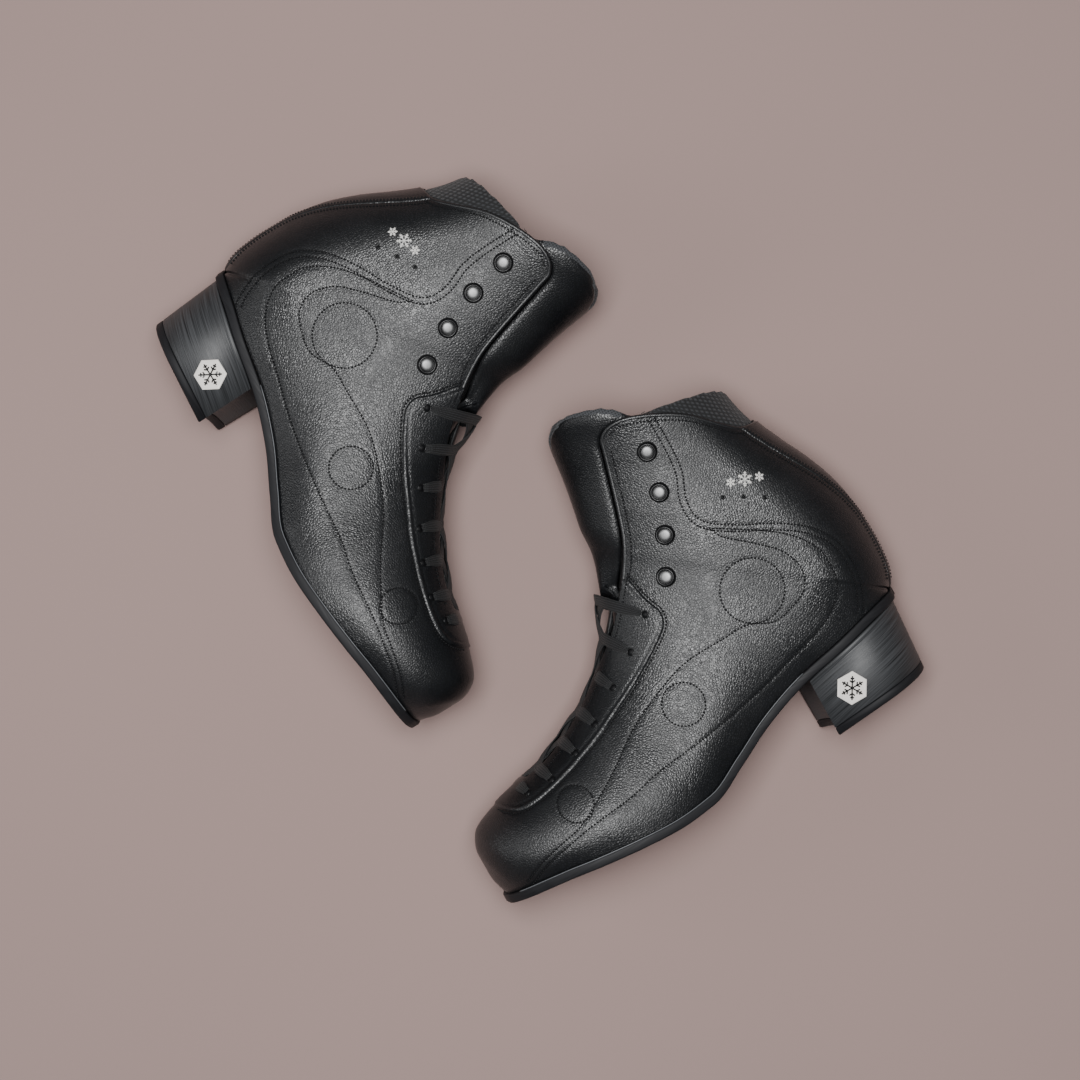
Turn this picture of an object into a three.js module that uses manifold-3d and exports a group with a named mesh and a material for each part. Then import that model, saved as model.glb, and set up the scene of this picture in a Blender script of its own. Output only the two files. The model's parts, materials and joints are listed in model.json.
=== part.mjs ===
// A pair of leather figure skating boots, without blades, lying on their inner sides on a flat surface.
// Units are millimetres. Each boot is built upright in its own frame: x from heel to toe, y towards the
// outer (lateral) side, z up from the ground. The pair is then laid down, with +Z up from the surface.
import * as THREE from "three";
import { mergeVertices } from "three/addons/utils/BufferGeometryUtils.js";
import Module from "manifold-3d";

const wasm = await Module();
wasm.setup();

// ---------------------------------------------------------------- driving dimensions
const GAP = 0.3; // between pieces that touch
const OUTER_THICKNESS = 2.2; // outer leather of vamp, quarters and backstay
const STIFFENER = { outer: 2.8, inner: 3.7 }; // toe puff and heel counter, as depths below the surface
const LINING = { outer: 4.1, inner: 6.0 };
const BOARD = { inset: 5, bottom: 0.1, top: 2.2 }; // insole board, heights above the feather line
const FOOTBED = { inset: 9, bottom: 2.8, top: 6.4 };
const OUTSOLE = { overhang: 1.6, thickness: 5.0 };
const SHANK = { from: 62, to: 158, halfWidth: 7, bottom: -2.0, top: -0.6 };
const HEEL = {
  front: 68, back: 3.5, halfWidthTop: 31, halfWidthBottom: 28.5, breastDepth: 5, rearSlope: 3, seatGap: 1.05,
};
const TOP_LIFT_THICKNESS = 4.4;
const HEEL_BASE = { backX: 5.7, backZ: 5.3, frontX: 67.6, frontZ: 0.1 };
const BADGE = { x: 50, z: 19, radius: 9, thickness: 0.9, standOff: 0.4 };
const TONGUE = { thickness: 5, recess: 7.4, splitFrom: 11.5, splitTo: 11.75, clearance: 1.4, endRow: 23.9 };
const TONGUE_BASE = { startRow: 5.6, recess: 8.6, spreadFrom: 0.5, spreadTo: 0.92 };
const TONGUE_FLAP = { depthAtTop: 0.8, riseRows: 5, tuck: 0.1, narrowest: 0.3 };
const SEAM_HALF_GAP = 0.2;
const COLLAR_LIFT = 0.6; // of the collar's lower edge above the topline
const LINING_INSET = { facing: [-1.5, -0.6], topline: [-0.8, -1.2] }; // from the leather's edges, as [x, z]
const SHANK_POCKET = { margin: 0.5, below: 0.4, top: 3 };
const COLLAR = { outer: 0.9, inner: 6.6 };
const LACE = { radius: 1.3, lift: 2.3, sides: 4, steps: 5 };
const STUD = { baseRadius: 5.4, neckRadius: 3.1, headRadius: 4.7, height: 5.2 };
const ROWS = 24; // rows of the surface grid, toe to collar
const SIDE_STEPS = 6; // grid steps up each side

// ---------------------------------------------------------------- boot surface
// Each station is a straight section across the side view, from the bottom or back edge (bx, bz) to the
// front ridge (fx, fz). wl and wm are the largest half-widths on the lateral and medial side, yl and ym
// the half-widths of the footprint, rf and rb the shares of the section that round off at each end.
const STATIONS = [
  { bx: 262.5, bz: 13.0, fx: 262.5, fz: 13.0, wl: 0, wm: 0, yl: 0, ym: 0, rf: 1.0, rb: 0.5 },
  { bx: 260.8, bz: 13.0, fx: 265.2, fz: 25.0, wl: 13.5, wm: 15.5, yl: 12, ym: 14, rf: 1.0, rb: 0.5 },
  { bx: 255.5, bz: 13.0, fx: 265.2, fz: 37.0, wl: 24.5, wm: 26.5, yl: 22, ym: 24, rf: 0.95, rb: 0.5 },
  { bx: 245.5, bz: 12.9, fx: 260.5, fz: 48.6, wl: 34, wm: 34, yl: 31, ym: 31.5, rf: 0.9, rb: 0.5 },
  { bx: 230.0, bz: 12.2, fx: 248.0, fz: 55.0, wl: 41, wm: 39, yl: 38, ym: 36.5, rf: 0.88, rb: 0.45 },
  { bx: 210.0, bz: 10.2, fx: 229.0, fz: 60.0, wl: 45.5, wm: 42, yl: 43, ym: 39.5, rf: 0.88, rb: 0.4 },
  { bx: 188.0, bz: 8.3, fx: 208.0, fz: 66.5, wl: 47, wm: 43.5, yl: 45, ym: 41, rf: 0.9, rb: 0.35 },
  { bx: 166.0, bz: 7.0, fx: 188.0, fz: 75.5, wl: 46, wm: 43.5, yl: 43, ym: 40.5, rf: 0.95, rb: 0.32 },
  { bx: 144.0, bz: 8.6, fx: 171.0, fz: 85.5, wl: 43, wm: 41, yl: 38, ym: 35.5, rf: 0.95, rb: 0.3 },
  { bx: 121.0, bz: 18.3, fx: 158.5, fz: 96.5, wl: 40, wm: 38.5, yl: 33, ym: 30, rf: 0.9, rb: 0.3 },
  { bx: 98.0, bz: 29.3, fx: 150.5, fz: 109.0, wl: 37.5, wm: 37, yl: 30, ym: 27.5, rf: 0.8, rb: 0.32 },
  { bx: 72.0, bz: 38.4, fx: 145.0, fz: 121.0, wl: 36, wm: 36, yl: 29.5, ym: 28.5, rf: 0.7, rb: 0.34 },
  { bx: 45.0, bz: 44.2, fx: 141.5, fz: 131.5, wl: 35.8, wm: 35.8, yl: 30, ym: 29.5, rf: 0.62, rb: 0.33 },
  { bx: 20.0, bz: 50.0, fx: 139.0, fz: 140.0, wl: 36, wm: 36, yl: 26, ym: 26, rf: 0.56, rb: 0.3 },
  { bx: 6.0, bz: 52.2, fx: 137.0, fz: 147.5, wl: 36.4, wm: 36.4, yl: 15, ym: 15, rf: 0.53, rb: 0.28 },
  { bx: 2.0, bz: 52.6, fx: 135.3, fz: 154.0, wl: 36.8, wm: 36.8, yl: 0, ym: 0, rf: 0.51, rb: 0.27 },
  { bx: -3.0, bz: 64.0, fx: 133.8, fz: 160.5, wl: 37.2, wm: 37.2, yl: 0, ym: 0, rf: 0.5, rb: 0.29 },
  { bx: -4.3, bz: 80.0, fx: 132.3, fz: 167.5, wl: 37.6, wm: 37.6, yl: 0, ym: 0, rf: 0.5, rb: 0.32 },
  { bx: -3.6, bz: 98.0, fx: 130.8, fz: 175.0, wl: 38, wm: 38, yl: 0, ym: 0, rf: 0.5, rb: 0.35 },
  { bx: -0.3, bz: 116.0, fx: 129.4, fz: 183.0, wl: 38, wm: 38, yl: 0, ym: 0, rf: 0.5, rb: 0.38 },
  { bx: 6.5, bz: 134.5, fx: 128.2, fz: 191.0, wl: 38, wm: 38, yl: 0, ym: 0, rf: 0.5, rb: 0.4 },
  { bx: 14.2, bz: 150.0, fx: 127.2, fz: 199.0, wl: 38.5, wm: 38.5, yl: 0, ym: 0, rf: 0.5, rb: 0.42 },
  { bx: 21.1, bz: 165.1, fx: 126.2, fz: 207.0, wl: 39.5, wm: 39.5, yl: 0, ym: 0, rf: 0.5, rb: 0.43 },
  { bx: 25.6, bz: 180.0, fx: 125.2, fz: 214.0, wl: 41, wm: 41, yl: 0, ym: 0, rf: 0.5, rb: 0.44 },
  { bx: 28.0, bz: 195.0, fx: 124.0, fz: 221.0, wl: 42.5, wm: 42.5, yl: 0, ym: 0, rf: 0.5, rb: 0.45 },
];
const HEEL_CORNER_ROW = 15; // the station where the sole's edge turns up the back of the heel

// Outlines drawn on the side view, as [x, z].
const FACING_EDGE = [
  [222.5, 60.8], [214, 62.4], [203, 66.0], [189, 72.6], [174, 81.8], [158, 94.2], [144.5, 106.5],
  [134, 119.2], [124, 132.6], [116.7, 146], [112, 160], [107.5, 176], [103.6, 191],
];
const TOPLINE = [
  [102, 198.2], [97, 201.6], [88.7, 202], [78, 198.6], [71, 195.4], [63, 191.2], [54.6, 185.5],
  [43.8, 175.5], [35.2, 168.2], [28, 166], [17, 165],
];
const FLAP_SIDE = [[101, 199], [94, 205], [86, 212], [80, 222]]; // the flap's edge above the facing
const COLLAR_TOP = [
  [21, 166], [24.8, 175], [27.4, 186], [32, 191], [38, 193.4], [53, 196.2], [68, 198.2], [79.5, 200.4],
];
const BACKSTAY_LINE = [
  [34, 167.2], [27.7, 155.3], [19.1, 141], [8.6, 123.4], [2, 109], [-1.9, 94.5], [-2.6, 79.4],
  [-1.2, 65.7], [3.5, 50],
];
const VAMP_LINE = [[226.5, 64], [216, 52], [204, 38], [199, 24], [203, 0]];
const EYELETS = [
  [226, 54.8], [211.8, 55.4], [194.1, 61.2], [177.5, 69], [159.4, 80.8], [142.2, 92.9], [126, 106.7],
];
const STUDS = [[107.1, 118.9], [96.9, 138.6], [88.8, 159.6], [84.2, 181.4]];

// Monotone cubic interpolation through values at 0, 1, 2, ...
function monotone(values) {
  const n = values.length;
  const step = values.slice(1).map((v, i) => v - values[i]);
  const slope = values.map((_, i) => {
    if (i === 0) return step[0];
    if (i === n - 1) return step[n - 2];
    const product = step[i - 1] * step[i];
    return product <= 0 ? 0 : (2 * product) / (step[i - 1] + step[i]);
  });
  return (u) => {
    const i = Math.min(n - 2, Math.max(0, Math.floor(u)));
    const t = u - i;
    const a = 1 - t;
    return (
      values[i] * (1 + 2 * t) * a * a +
      slope[i] * t * a * a +
      values[i + 1] * t * t * (3 - 2 * t) +
      slope[i + 1] * t * t * (t - 1)
    );
  };
}
const station = Object.fromEntries(
  Object.keys(STATIONS[0]).map((key) => [key, monotone(STATIONS.map((row) => row[key]))]),
);

// How far a rounded end has grown at a share t of its length: 0 at the edge, 1 where it is full.
function rounding(t, start = 0) {
  const left = 1 - Math.min(Math.max(t, 0), 1);
  return Math.sqrt(Math.max(0, 1 - (1 - start * start) * left * left));
}

// A point of the surface: row u runs from toe to collar, v from 0 at the lateral bottom edge over the
// ridge at PI to the medial bottom edge at 2 PI.
function surface(u, v) {
  const lateral = v <= Math.PI;
  const c = (1 - Math.cos(lateral ? v : 2 * Math.PI - v)) / 2;
  const width = lateral ? station.wl(u) : station.wm(u);
  const foot = lateral ? station.yl(u) : station.ym(u);
  const share = width > 0.01 ? Math.min(1, foot / width) : 0;
  const y = width * rounding((1 - c) / station.rf(u)) * rounding(c / station.rb(u), share);
  const x = station.bx(u) + (station.fx(u) - station.bx(u)) * c;
  const z = station.bz(u) + (station.fz(u) - station.bz(u)) * c;
  return new THREE.Vector3(x, lateral ? y : -y, z);
}

function outward(u, v) {
  const closedBack = u >= HEEL_CORNER_ROW;
  const step = 0.03;
  if (u < 0.01) return new THREE.Vector3(1, 0, 0);
  const wrap = (a) => (closedBack ? (a + 2 * Math.PI) % (2 * Math.PI) : Math.min(2 * Math.PI, Math.max(0, a)));
  const across = surface(u, wrap(v + step)).sub(surface(u, wrap(v - step)));
  const along = surface(Math.min(ROWS, u + step), v).sub(surface(Math.max(0, u - step), v));
  return across.cross(along).negate().normalize();
}

const inset = (u, v, depth) => surface(u, v).addScaledVector(outward(u, v), -depth);

// Height of the sole's feather line at x.
const featherLine = Array.from({ length: 151 }, (_, i) => (HEEL_CORNER_ROW * i) / 150).map((u) => [
  station.bx(u),
  station.bz(u),
]);
function featherHeight(x) {
  const i = featherLine.findIndex(([fx]) => fx <= x);
  if (i < 0) return featherLine.at(-1)[1];
  if (i === 0) return featherLine[0][1];
  const [x1, z1] = featherLine[i - 1];
  const [x0, z0] = featherLine[i];
  return z0 + ((z1 - z0) * (x - x0)) / (x1 - x0);
}

// Where the side view point (x, z) lies on a side of the surface, as [u, v].
function locate(x, z, side) {
  let best = [0, 0, Infinity];
  const search = (u0, u1, c0, c1, steps) => {
    for (let i = 0; i <= steps; i++)
      for (let j = 0; j <= steps; j++) {
        const u = THREE.MathUtils.lerp(u0, u1, i / steps);
        const c = THREE.MathUtils.lerp(c0, c1, j / steps);
        const dx = station.bx(u) + (station.fx(u) - station.bx(u)) * c - x;
        const dz = station.bz(u) + (station.fz(u) - station.bz(u)) * c - z;
        if (dx * dx + dz * dz < best[2]) best = [u, c, dx * dx + dz * dz];
      }
  };
  search(0, ROWS, 0, 1, 48);
  for (let reach = 0.5; reach > 0.002; reach /= 3) {
    const [u, c] = best;
    const cReach = reach / 12;
    const cFrom = Math.max(0, c - cReach);
    const cTo = Math.min(1, c + cReach);
    search(Math.max(0, u - reach), Math.min(ROWS, u + reach), cFrom, cTo, 8);
  }
  const v = Math.acos(1 - 2 * best[1]);
  return [best[0], side > 0 ? v : 2 * Math.PI - v];
}

// ---------------------------------------------------------------- solids
function toSolid(geometry) {
  geometry.deleteAttribute("normal");
  geometry.deleteAttribute("uv");
  const merged = mergeVertices(geometry, 1e-3);
  const index = Array.from(merged.index.array);
  const kept = [];
  for (let i = 0; i < index.length; i += 3) {
    const [a, b, c] = index.slice(i, i + 3);
    if (a !== b && b !== c && a !== c) kept.push(a, b, c);
  }
  return new wasm.Manifold(
    new wasm.Mesh({
      numProp: 3,
      vertProperties: merged.attributes.position.array,
      triVerts: new Uint32Array(kept),
    }),
  );
}

function fromSolid(solid) {
  const made = solid.getMesh();
  const positions = new Float32Array(made.numVert * 3);
  for (let i = 0; i < made.numVert; i++)
    positions.set(made.vertProperties.subarray(i * made.numProp, i * made.numProp + 3), i * 3);
  const geometry = new THREE.BufferGeometry();
  geometry.setAttribute("position", new THREE.BufferAttribute(positions, 3));
  geometry.setIndex(new THREE.BufferAttribute(new Uint32Array(made.triVerts), 1));
  geometry.computeVertexNormals();
  return geometry;
}

function fromQuads(points, quads) {
  const geometry = new THREE.BufferGeometry().setFromPoints(points);
  geometry.setIndex(quads.flatMap(([a, b, c, d]) => (d === undefined ? [a, b, c] : [a, b, c, a, c, d])));
  return geometry;
}

// The whole boot's form, its surface pushed in by depth. drop lowers the bottom and lift raises the top,
// for a core that is cut away.
function bootForm(depth, drop = 0, lift = 0) {
  const around = 2 * SIDE_STEPS;
  const points = [];
  for (let i = 0; i <= ROWS; i++)
    for (let j = 0; j <= around; j++) {
      const p = inset(i, (Math.PI * j) / SIDE_STEPS, depth);
      if ((j === 0 || j === around) && i <= HEEL_CORNER_ROW) p.z -= drop;
      if (i === ROWS) p.z += lift;
      points.push(p);
    }
  const at = (i, j) => i * (around + 1) + j;
  const quads = [];
  for (let i = 0; i < ROWS; i++) {
    for (let j = 0; j < around; j++)
      quads.push([at(i, j), at(i, j + 1), at(i + 1, j + 1), at(i + 1, j)].reverse());
    quads.push([at(i, around), at(i, 0), at(i + 1, 0), at(i + 1, around)].reverse());
  }
  for (let j = 0; j < SIDE_STEPS; j++)
    quads.push([at(ROWS, j), at(ROWS, j + 1), at(ROWS, around - j - 1), at(ROWS, around - j)].reverse());
  return toSolid(fromQuads(points, quads));
}

const layer = (outer, inner) => bootForm(outer).subtract(bootForm(inner, 6, 6));

// A patch of the surface between two depths, from row u0 to u1.
// spread(u) gives its reach each side of the ridge.
function ridgePatch(u0, u1, rows, steps, spread, outer, inner) {
  const points = [];
  for (let k = 0; k < 2; k++)
    for (let i = 0; i <= rows; i++)
      for (let j = 0; j <= steps; j++) {
        const u = THREE.MathUtils.lerp(u0, u1, i / rows);
        const v = Math.PI + spread(u) * ((2 * j) / steps - 1);
        points.push(inset(u, v, k ? inner(u) : outer(u)));
      }
  const at = (k, i, j) => (k * (rows + 1) + i) * (steps + 1) + j;
  const quads = [];
  for (let i = 0; i < rows; i++) {
    for (let j = 0; j < steps; j++) {
      quads.push([at(0, i, j), at(0, i + 1, j), at(0, i + 1, j + 1), at(0, i, j + 1)]);
      quads.push([at(1, i, j), at(1, i, j + 1), at(1, i + 1, j + 1), at(1, i + 1, j)]);
    }
    quads.push([at(0, i, 0), at(1, i, 0), at(1, i + 1, 0), at(0, i + 1, 0)]);
    quads.push([at(0, i, steps), at(0, i + 1, steps), at(1, i + 1, steps), at(1, i, steps)]);
  }
  for (let j = 0; j < steps; j++) {
    quads.push([at(0, 0, j), at(0, 0, j + 1), at(1, 0, j + 1), at(1, 0, j)]);
    quads.push([at(0, rows, j), at(1, rows, j), at(1, rows, j + 1), at(0, rows, j + 1)]);
  }
  return toSolid(fromQuads(points, quads));
}

// A plate between two edges, from heights z0 to z1 above the feather line.
// Each rib is [lateral, medial] of [x, y].
function slab(ribs, z0, z1, base = featherHeight) {
  const points = ribs.flatMap(([l, m]) =>
    [l, m].flatMap(([x, y]) => [z0, z1].map((z) => new THREE.Vector3(x, y, base(x) + z))),
  );
  const quads = [];
  for (let i = 0; i + 1 < ribs.length; i++) {
    const [lb, lt, mb, mt] = [0, 1, 2, 3].map((k) => 4 * i + k);
    const [lb2, lt2, mb2, mt2] = [4, 5, 6, 7].map((k) => 4 * i + k);
    quads.push([lt, mt, mt2, lt2], [lb, lb2, mb2, mb], [lb, lt, lt2, lb2], [mb, mb2, mt2, mt]);
  }
  const last = 4 * (ribs.length - 1);
  quads.push([0, 2, 3, 1], [last, last + 1, last + 3, last + 2]);
  const solid = toSolid(fromQuads(points, quads));
  return solid.volume() < 0 ? toSolid(fromQuads(points, quads.map((q) => [...q].reverse()))) : solid;
}

// Ribs of the footprint, with its outline moved in by depth.
function footprint(depth, count = HEEL_CORNER_ROW) {
  const rows = Array.from({ length: count + 1 }, (_, i) => (HEEL_CORNER_ROW * i) / count);
  const edge = (sign) =>
    rows.map((u) => {
      const half = (w) => (sign > 0 ? station.yl(w) : -station.ym(w));
      const a = Math.max(0, u - 0.05);
      const b = Math.min(HEEL_CORNER_ROW, u + 0.05);
      const run = new THREE.Vector2(station.bx(b) - station.bx(a), half(b) - half(a)).normalize();
      const normal = new THREE.Vector2(-run.y, run.x).multiplyScalar(-sign);
      if (u === 0) normal.set(1, 0);
      if (u === HEEL_CORNER_ROW) normal.set(-1, 0);
      return [station.bx(u) - normal.x * depth, half(u) - normal.y * depth];
    });
  const lateral = edge(1);
  const medial = edge(-1);
  return rows.map((_, i) => [lateral[i], medial[i]]);
}

const smooth = (points, count) =>
  new THREE.SplineCurve(points.map(([x, z]) => new THREE.Vector2(x, z)))
    .getPoints(count)
    .map((p) => [p.x, p.y]);
const shifted = (points, dx, dz = 0) => points.map(([x, z]) => [x + dx, z + dz]);

// A side view outline, extruded across the boot from y0 to y1.
function prism(outline, y0, y1) {
  const section = new wasm.CrossSection([outline], "NonZero");
  return section.extrude(y1 - y0).rotate([90, 0, 0]).translate([0, y1, 0]);
}
const WIDE = 90; // further out than any part of a boot

function largest(solid) {
  return solid.decompose().sort((a, b) => b.volume() - a.volume())[0];
}

// ---------------------------------------------------------------- pieces of one boot
const facing = smooth(FACING_EDGE, 15);
const topline = smooth(TOPLINE, 14);
const collarTop = smooth(COLLAR_TOP, 9);
const backstayLine = smooth(BACKSTAY_LINE, 10);
const vampLine = smooth(VAMP_LINE, 6);
const floorCut = slab(footprint(-12), -14, BOARD.top + 3 * GAP);
const stiffenerCut = slab(footprint(-12), -14, BOARD.top + 8);

function quarter(outerLayer, side) {
  const outline = [
    ...[...vampLine].reverse().map(([x, z]) => [x - GAP, z]),
    ...facing,
    ...topline.filter(([x]) => x > 36),
    ...backstayLine.slice(1).map(([x, z]) => [x + GAP, z]),
    [6, 20],
    [100, -6],
  ];
  const half = side > 0 ? prism(outline, SEAM_HALF_GAP, WIDE) : prism(outline, -WIDE, -SEAM_HALF_GAP);
  return largest(outerLayer.intersect(half));
}

function vamp(outerLayer) {
  return largest(outerLayer.intersect(prism([...vampLine, [290, 0], [290, 90], [227, 90]], -WIDE, WIDE)));
}

function backstay(outerLayer) {
  const outline = [...backstayLine, [-30, 40], [-30, 164.6], [20, 164.8], [28, 165.4]];
  return largest(outerLayer.intersect(prism(outline, -WIDE, WIDE)));
}

function collar() {
  const [frontX] = COLLAR_TOP.at(-1);
  const lower = topline.filter(([x]) => x < frontX);
  const outline = [...shifted(lower, -SEAM_HALF_GAP, COLLAR_LIFT), ...collarTop];
  return largest(layer(COLLAR.outer, COLLAR.inner).intersect(prism(outline, -WIDE, WIDE)));
}

function lining() {
  const outline = [
    [-30, -10],
    [290, -10],
    [290, 90],
    [227, 90],
    ...shifted(facing, ...LINING_INSET.facing),
    ...shifted(topline.filter(([x]) => x > 24), ...LINING_INSET.topline),
    [-30, 163.8],
  ];
  const shell = layer(LINING.outer, LINING.inner).intersect(prism(outline, -WIDE, WIDE));
  return largest(shell.subtract(floorCut));
}

function stiffener(outline) {
  const shell = layer(STIFFENER.outer, STIFFENER.inner).intersect(prism(outline, -WIDE, WIDE));
  return largest(shell.subtract(stiffenerCut));
}
const heelCounter = () => stiffener([[-30, 0], [78, 0], [74, 66], [52, 96], [20, 108], [-30, 110]]);
const toePuff = () => stiffener([[233, 0], [290, 0], [290, 90], [240, 90]]);

function shankRibs(margin) {
  return Array.from({ length: 9 }, (_, i) => {
    const x = THREE.MathUtils.lerp(SHANK.from - margin, SHANK.to + margin, i / 8);
    return [[x, SHANK.halfWidth + margin], [x, -SHANK.halfWidth - margin]];
  });
}
const shank = () => slab(shankRibs(0), SHANK.bottom, SHANK.top);

function outsole() {
  const plate = slab(footprint(-OUTSOLE.overhang), -2 * GAP - OUTSOLE.thickness, -2 * GAP);
  const { margin, below, top } = SHANK_POCKET;
  return largest(plate.subtract(slab(shankRibs(margin), SHANK.bottom - below, top)));
}

// The heel's ground line.
function heelGround(x) {
  const run = HEEL_BASE.frontX - HEEL_BASE.backX;
  return HEEL_BASE.backZ + ((x - HEEL_BASE.backX) / run) * (HEEL_BASE.frontZ - HEEL_BASE.backZ);
}

// Plan outline of the heel, share 0 at its top and 1 at the ground: a D with a hollow front.
function heelOutline(share, grow = 0) {
  const half = THREE.MathUtils.lerp(HEEL.halfWidthTop, HEEL.halfWidthBottom, share) + grow;
  const back = HEEL.back + HEEL.rearSlope * share - grow;
  const outline = [];
  const arcSteps = 12;
  const middle = back + half;
  for (let i = 0; i <= arcSteps; i++) {
    const a = Math.PI / 2 + (Math.PI * i) / arcSteps;
    outline.push([middle + half * Math.cos(a), half * Math.sin(a)]);
  }
  const breastSteps = 6;
  for (let i = 0; i <= breastSteps; i++) {
    const t = (2 * i) / breastSteps - 1;
    outline.push([HEEL.front - HEEL.breastDepth * (1 - t * t), half * t]);
  }
  return outline;
}

function heelLayer(bottomAt, topAt) {
  const top = heelOutline(0);
  const bottom = heelOutline(1);
  const height = (x) => featherHeight(x) - 2 * GAP - OUTSOLE.thickness - heelGround(x);
  const ring = (at) =>
    top.map(([x, y], i) => {
      const share = THREE.MathUtils.clamp(1 - (at(x) - heelGround(x)) / height(x), 0, 1);
      const [bx, by] = bottom[i];
      return new THREE.Vector3(x + (bx - x) * share, y + (by - y) * share, at(x));
    });
  const points = [...ring(bottomAt), ...ring(topAt)];
  const n = top.length;
  const quads = [];
  for (let i = 0; i < n; i++) quads.push([i, n + i, n + ((i + 1) % n), (i + 1) % n]);
  const faces = THREE.ShapeUtils.triangulateShape(top.map(([x, y]) => new THREE.Vector2(x, y)), []);
  for (const [a, b, c] of faces) quads.push([a, b, c], [n + c, n + b, n + a]);
  const solid = toSolid(fromQuads(points, quads));
  return solid.volume() < 0 ? toSolid(fromQuads(points, quads.map((q) => [...q].reverse()))) : solid;
}
const heelBlock = () =>
  heelLayer(
    (x) => heelGround(x) + TOP_LIFT_THICKNESS + GAP,
    (x) => featherHeight(x) - HEEL.seatGap - OUTSOLE.thickness,
  );
const topLift = () => heelLayer(heelGround, (x) => heelGround(x) + TOP_LIFT_THICKNESS);

// A plain six-sided plate on the heel's outer face.
function badge() {
  const seat = featherHeight(BADGE.x) - OUTSOLE.thickness - GAP;
  const lean = Math.atan2(HEEL.halfWidthTop - HEEL.halfWidthBottom, seat);
  const share = 1 - (BADGE.z - heelGround(BADGE.x)) / (seat - heelGround(BADGE.x));
  const face = THREE.MathUtils.lerp(HEEL.halfWidthTop, HEEL.halfWidthBottom, share);
  const plate = new THREE.CylinderGeometry(BADGE.radius, BADGE.radius, BADGE.thickness, 6);
  plate.rotateX(-lean);
  return toSolid(plate.translate(BADGE.x, face + BADGE.standOff + BADGE.thickness / 2, BADGE.z));
}

// Angle v, from the ridge, at which row u meets the facing edge.
function facingSpread(u) {
  const [bx, bz, fx, fz] = ["bx", "bz", "fx", "fz"].map((key) => station[key](u));
  const ahead = ([x, z]) => (fx - bx) * (z - bz) - (fz - bz) * (x - bx);
  const line = [...facing, ...FLAP_SIDE];
  for (let i = 0; i + 1 < line.length; i++) {
    const [a, b] = [ahead(line[i]), ahead(line[i + 1])];
    if (a <= 0 === b <= 0) continue;
    const t = a / (a - b);
    const x = line[i][0] + (line[i + 1][0] - line[i][0]) * t;
    const c = THREE.MathUtils.clamp((x - bx) / (fx - bx), 0, 1);
    return Math.PI - Math.acos(1 - 2 * c) + TONGUE_FLAP.tuck;
  }
  return TONGUE_FLAP.narrowest;
}

// The flap fills the throat between the facings, and stands clear of their edges.
function tongueFlap() {
  const { splitTo, endRow, recess, thickness, clearance } = TONGUE;
  const rise = (u) => THREE.MathUtils.smoothstep(u, splitTo, splitTo + TONGUE_FLAP.riseRows);
  const outer = (u) => THREE.MathUtils.lerp(recess, TONGUE_FLAP.depthAtTop, rise(u));
  const patch = ridgePatch(splitTo, endRow, 10, 8, facingSpread, outer, (u) => outer(u) + thickness);
  const facingEdge = shifted([...facing, ...FLAP_SIDE], clearance, clearance / 2);
  return largest(patch.subtract(prism([...facingEdge, [-30, 240], [-30, -20], [222, 20]], -WIDE, WIDE)));
}

function tongueBase() {
  const { startRow, recess, spreadFrom, spreadTo } = TONGUE_BASE;
  const share = (u) => (u - startRow) / (TONGUE.splitFrom - startRow);
  const spread = (u) => THREE.MathUtils.lerp(spreadFrom, spreadTo, share(u));
  return ridgePatch(startRow, TONGUE.splitFrom, 6, 8, spread, () => recess, () => recess + TONGUE.thickness);
}

// A length of lace between two eyelets, over the throat.
function laceStrand(from, to, side) {
  const [u0, v0] = locate(...from, side);
  const [u1, v1] = locate(...to, -side);
  const points = Array.from({ length: LACE.steps + 1 }, (_, i) => {
    const t = i / LACE.steps;
    return inset(THREE.MathUtils.lerp(u0, u1, t), THREE.MathUtils.lerp(v0, v1, t), -LACE.lift);
  });
  const corners = Array.from({ length: LACE.sides }, (_, i) => {
    const a = (2 * Math.PI * (i + 0.5)) / LACE.sides;
    return new THREE.Vector2(LACE.radius * Math.cos(a), LACE.radius * Math.sin(a));
  });
  const extrudePath = new THREE.CatmullRomCurve3(points);
  return toSolid(new THREE.ExtrudeGeometry(new THREE.Shape(corners), { steps: LACE.steps, extrudePath }));
}

// The lace zigzags from eyelet to eyelet, one half starting on each side.
// A bar closes the first and last row.
function laces() {
  const last = EYELETS.length - 1;
  const strands = [laceStrand(EYELETS[0], EYELETS[0], 1), laceStrand(EYELETS[last], EYELETS[last], 1)];
  for (let i = 0; i < last; i++)
    for (const side of [1, -1]) strands.push(laceStrand(EYELETS[i], EYELETS[i + 1], side));
  return largest(strands.reduce((all, strand) => all.add(strand)));
}

// A riveted lacing stud: a washer, a neck the lace hooks round, and a domed head.
function stud(x, z, side) {
  const s = STUD;
  const profile = [
    [0, 0], [s.baseRadius, 0], [s.baseRadius, 0.8], [s.neckRadius, 1.3], [s.neckRadius, 3.2],
    [s.headRadius, 3.8], [s.headRadius, 4.6], [s.headRadius * 0.55, s.height], [0, s.height],
  ].map(([r, h]) => new THREE.Vector2(r, h));
  const geometry = new THREE.LatheGeometry(profile, 12);
  const [u, v] = locate(x, z, side);
  const up = outward(u, v);
  geometry.applyQuaternion(new THREE.Quaternion().setFromUnitVectors(new THREE.Vector3(0, 1, 0), up));
  const foot = surface(u, v).addScaledVector(up, GAP);
  return toSolid(geometry.translate(foot.x, foot.y, foot.z));
}

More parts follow.
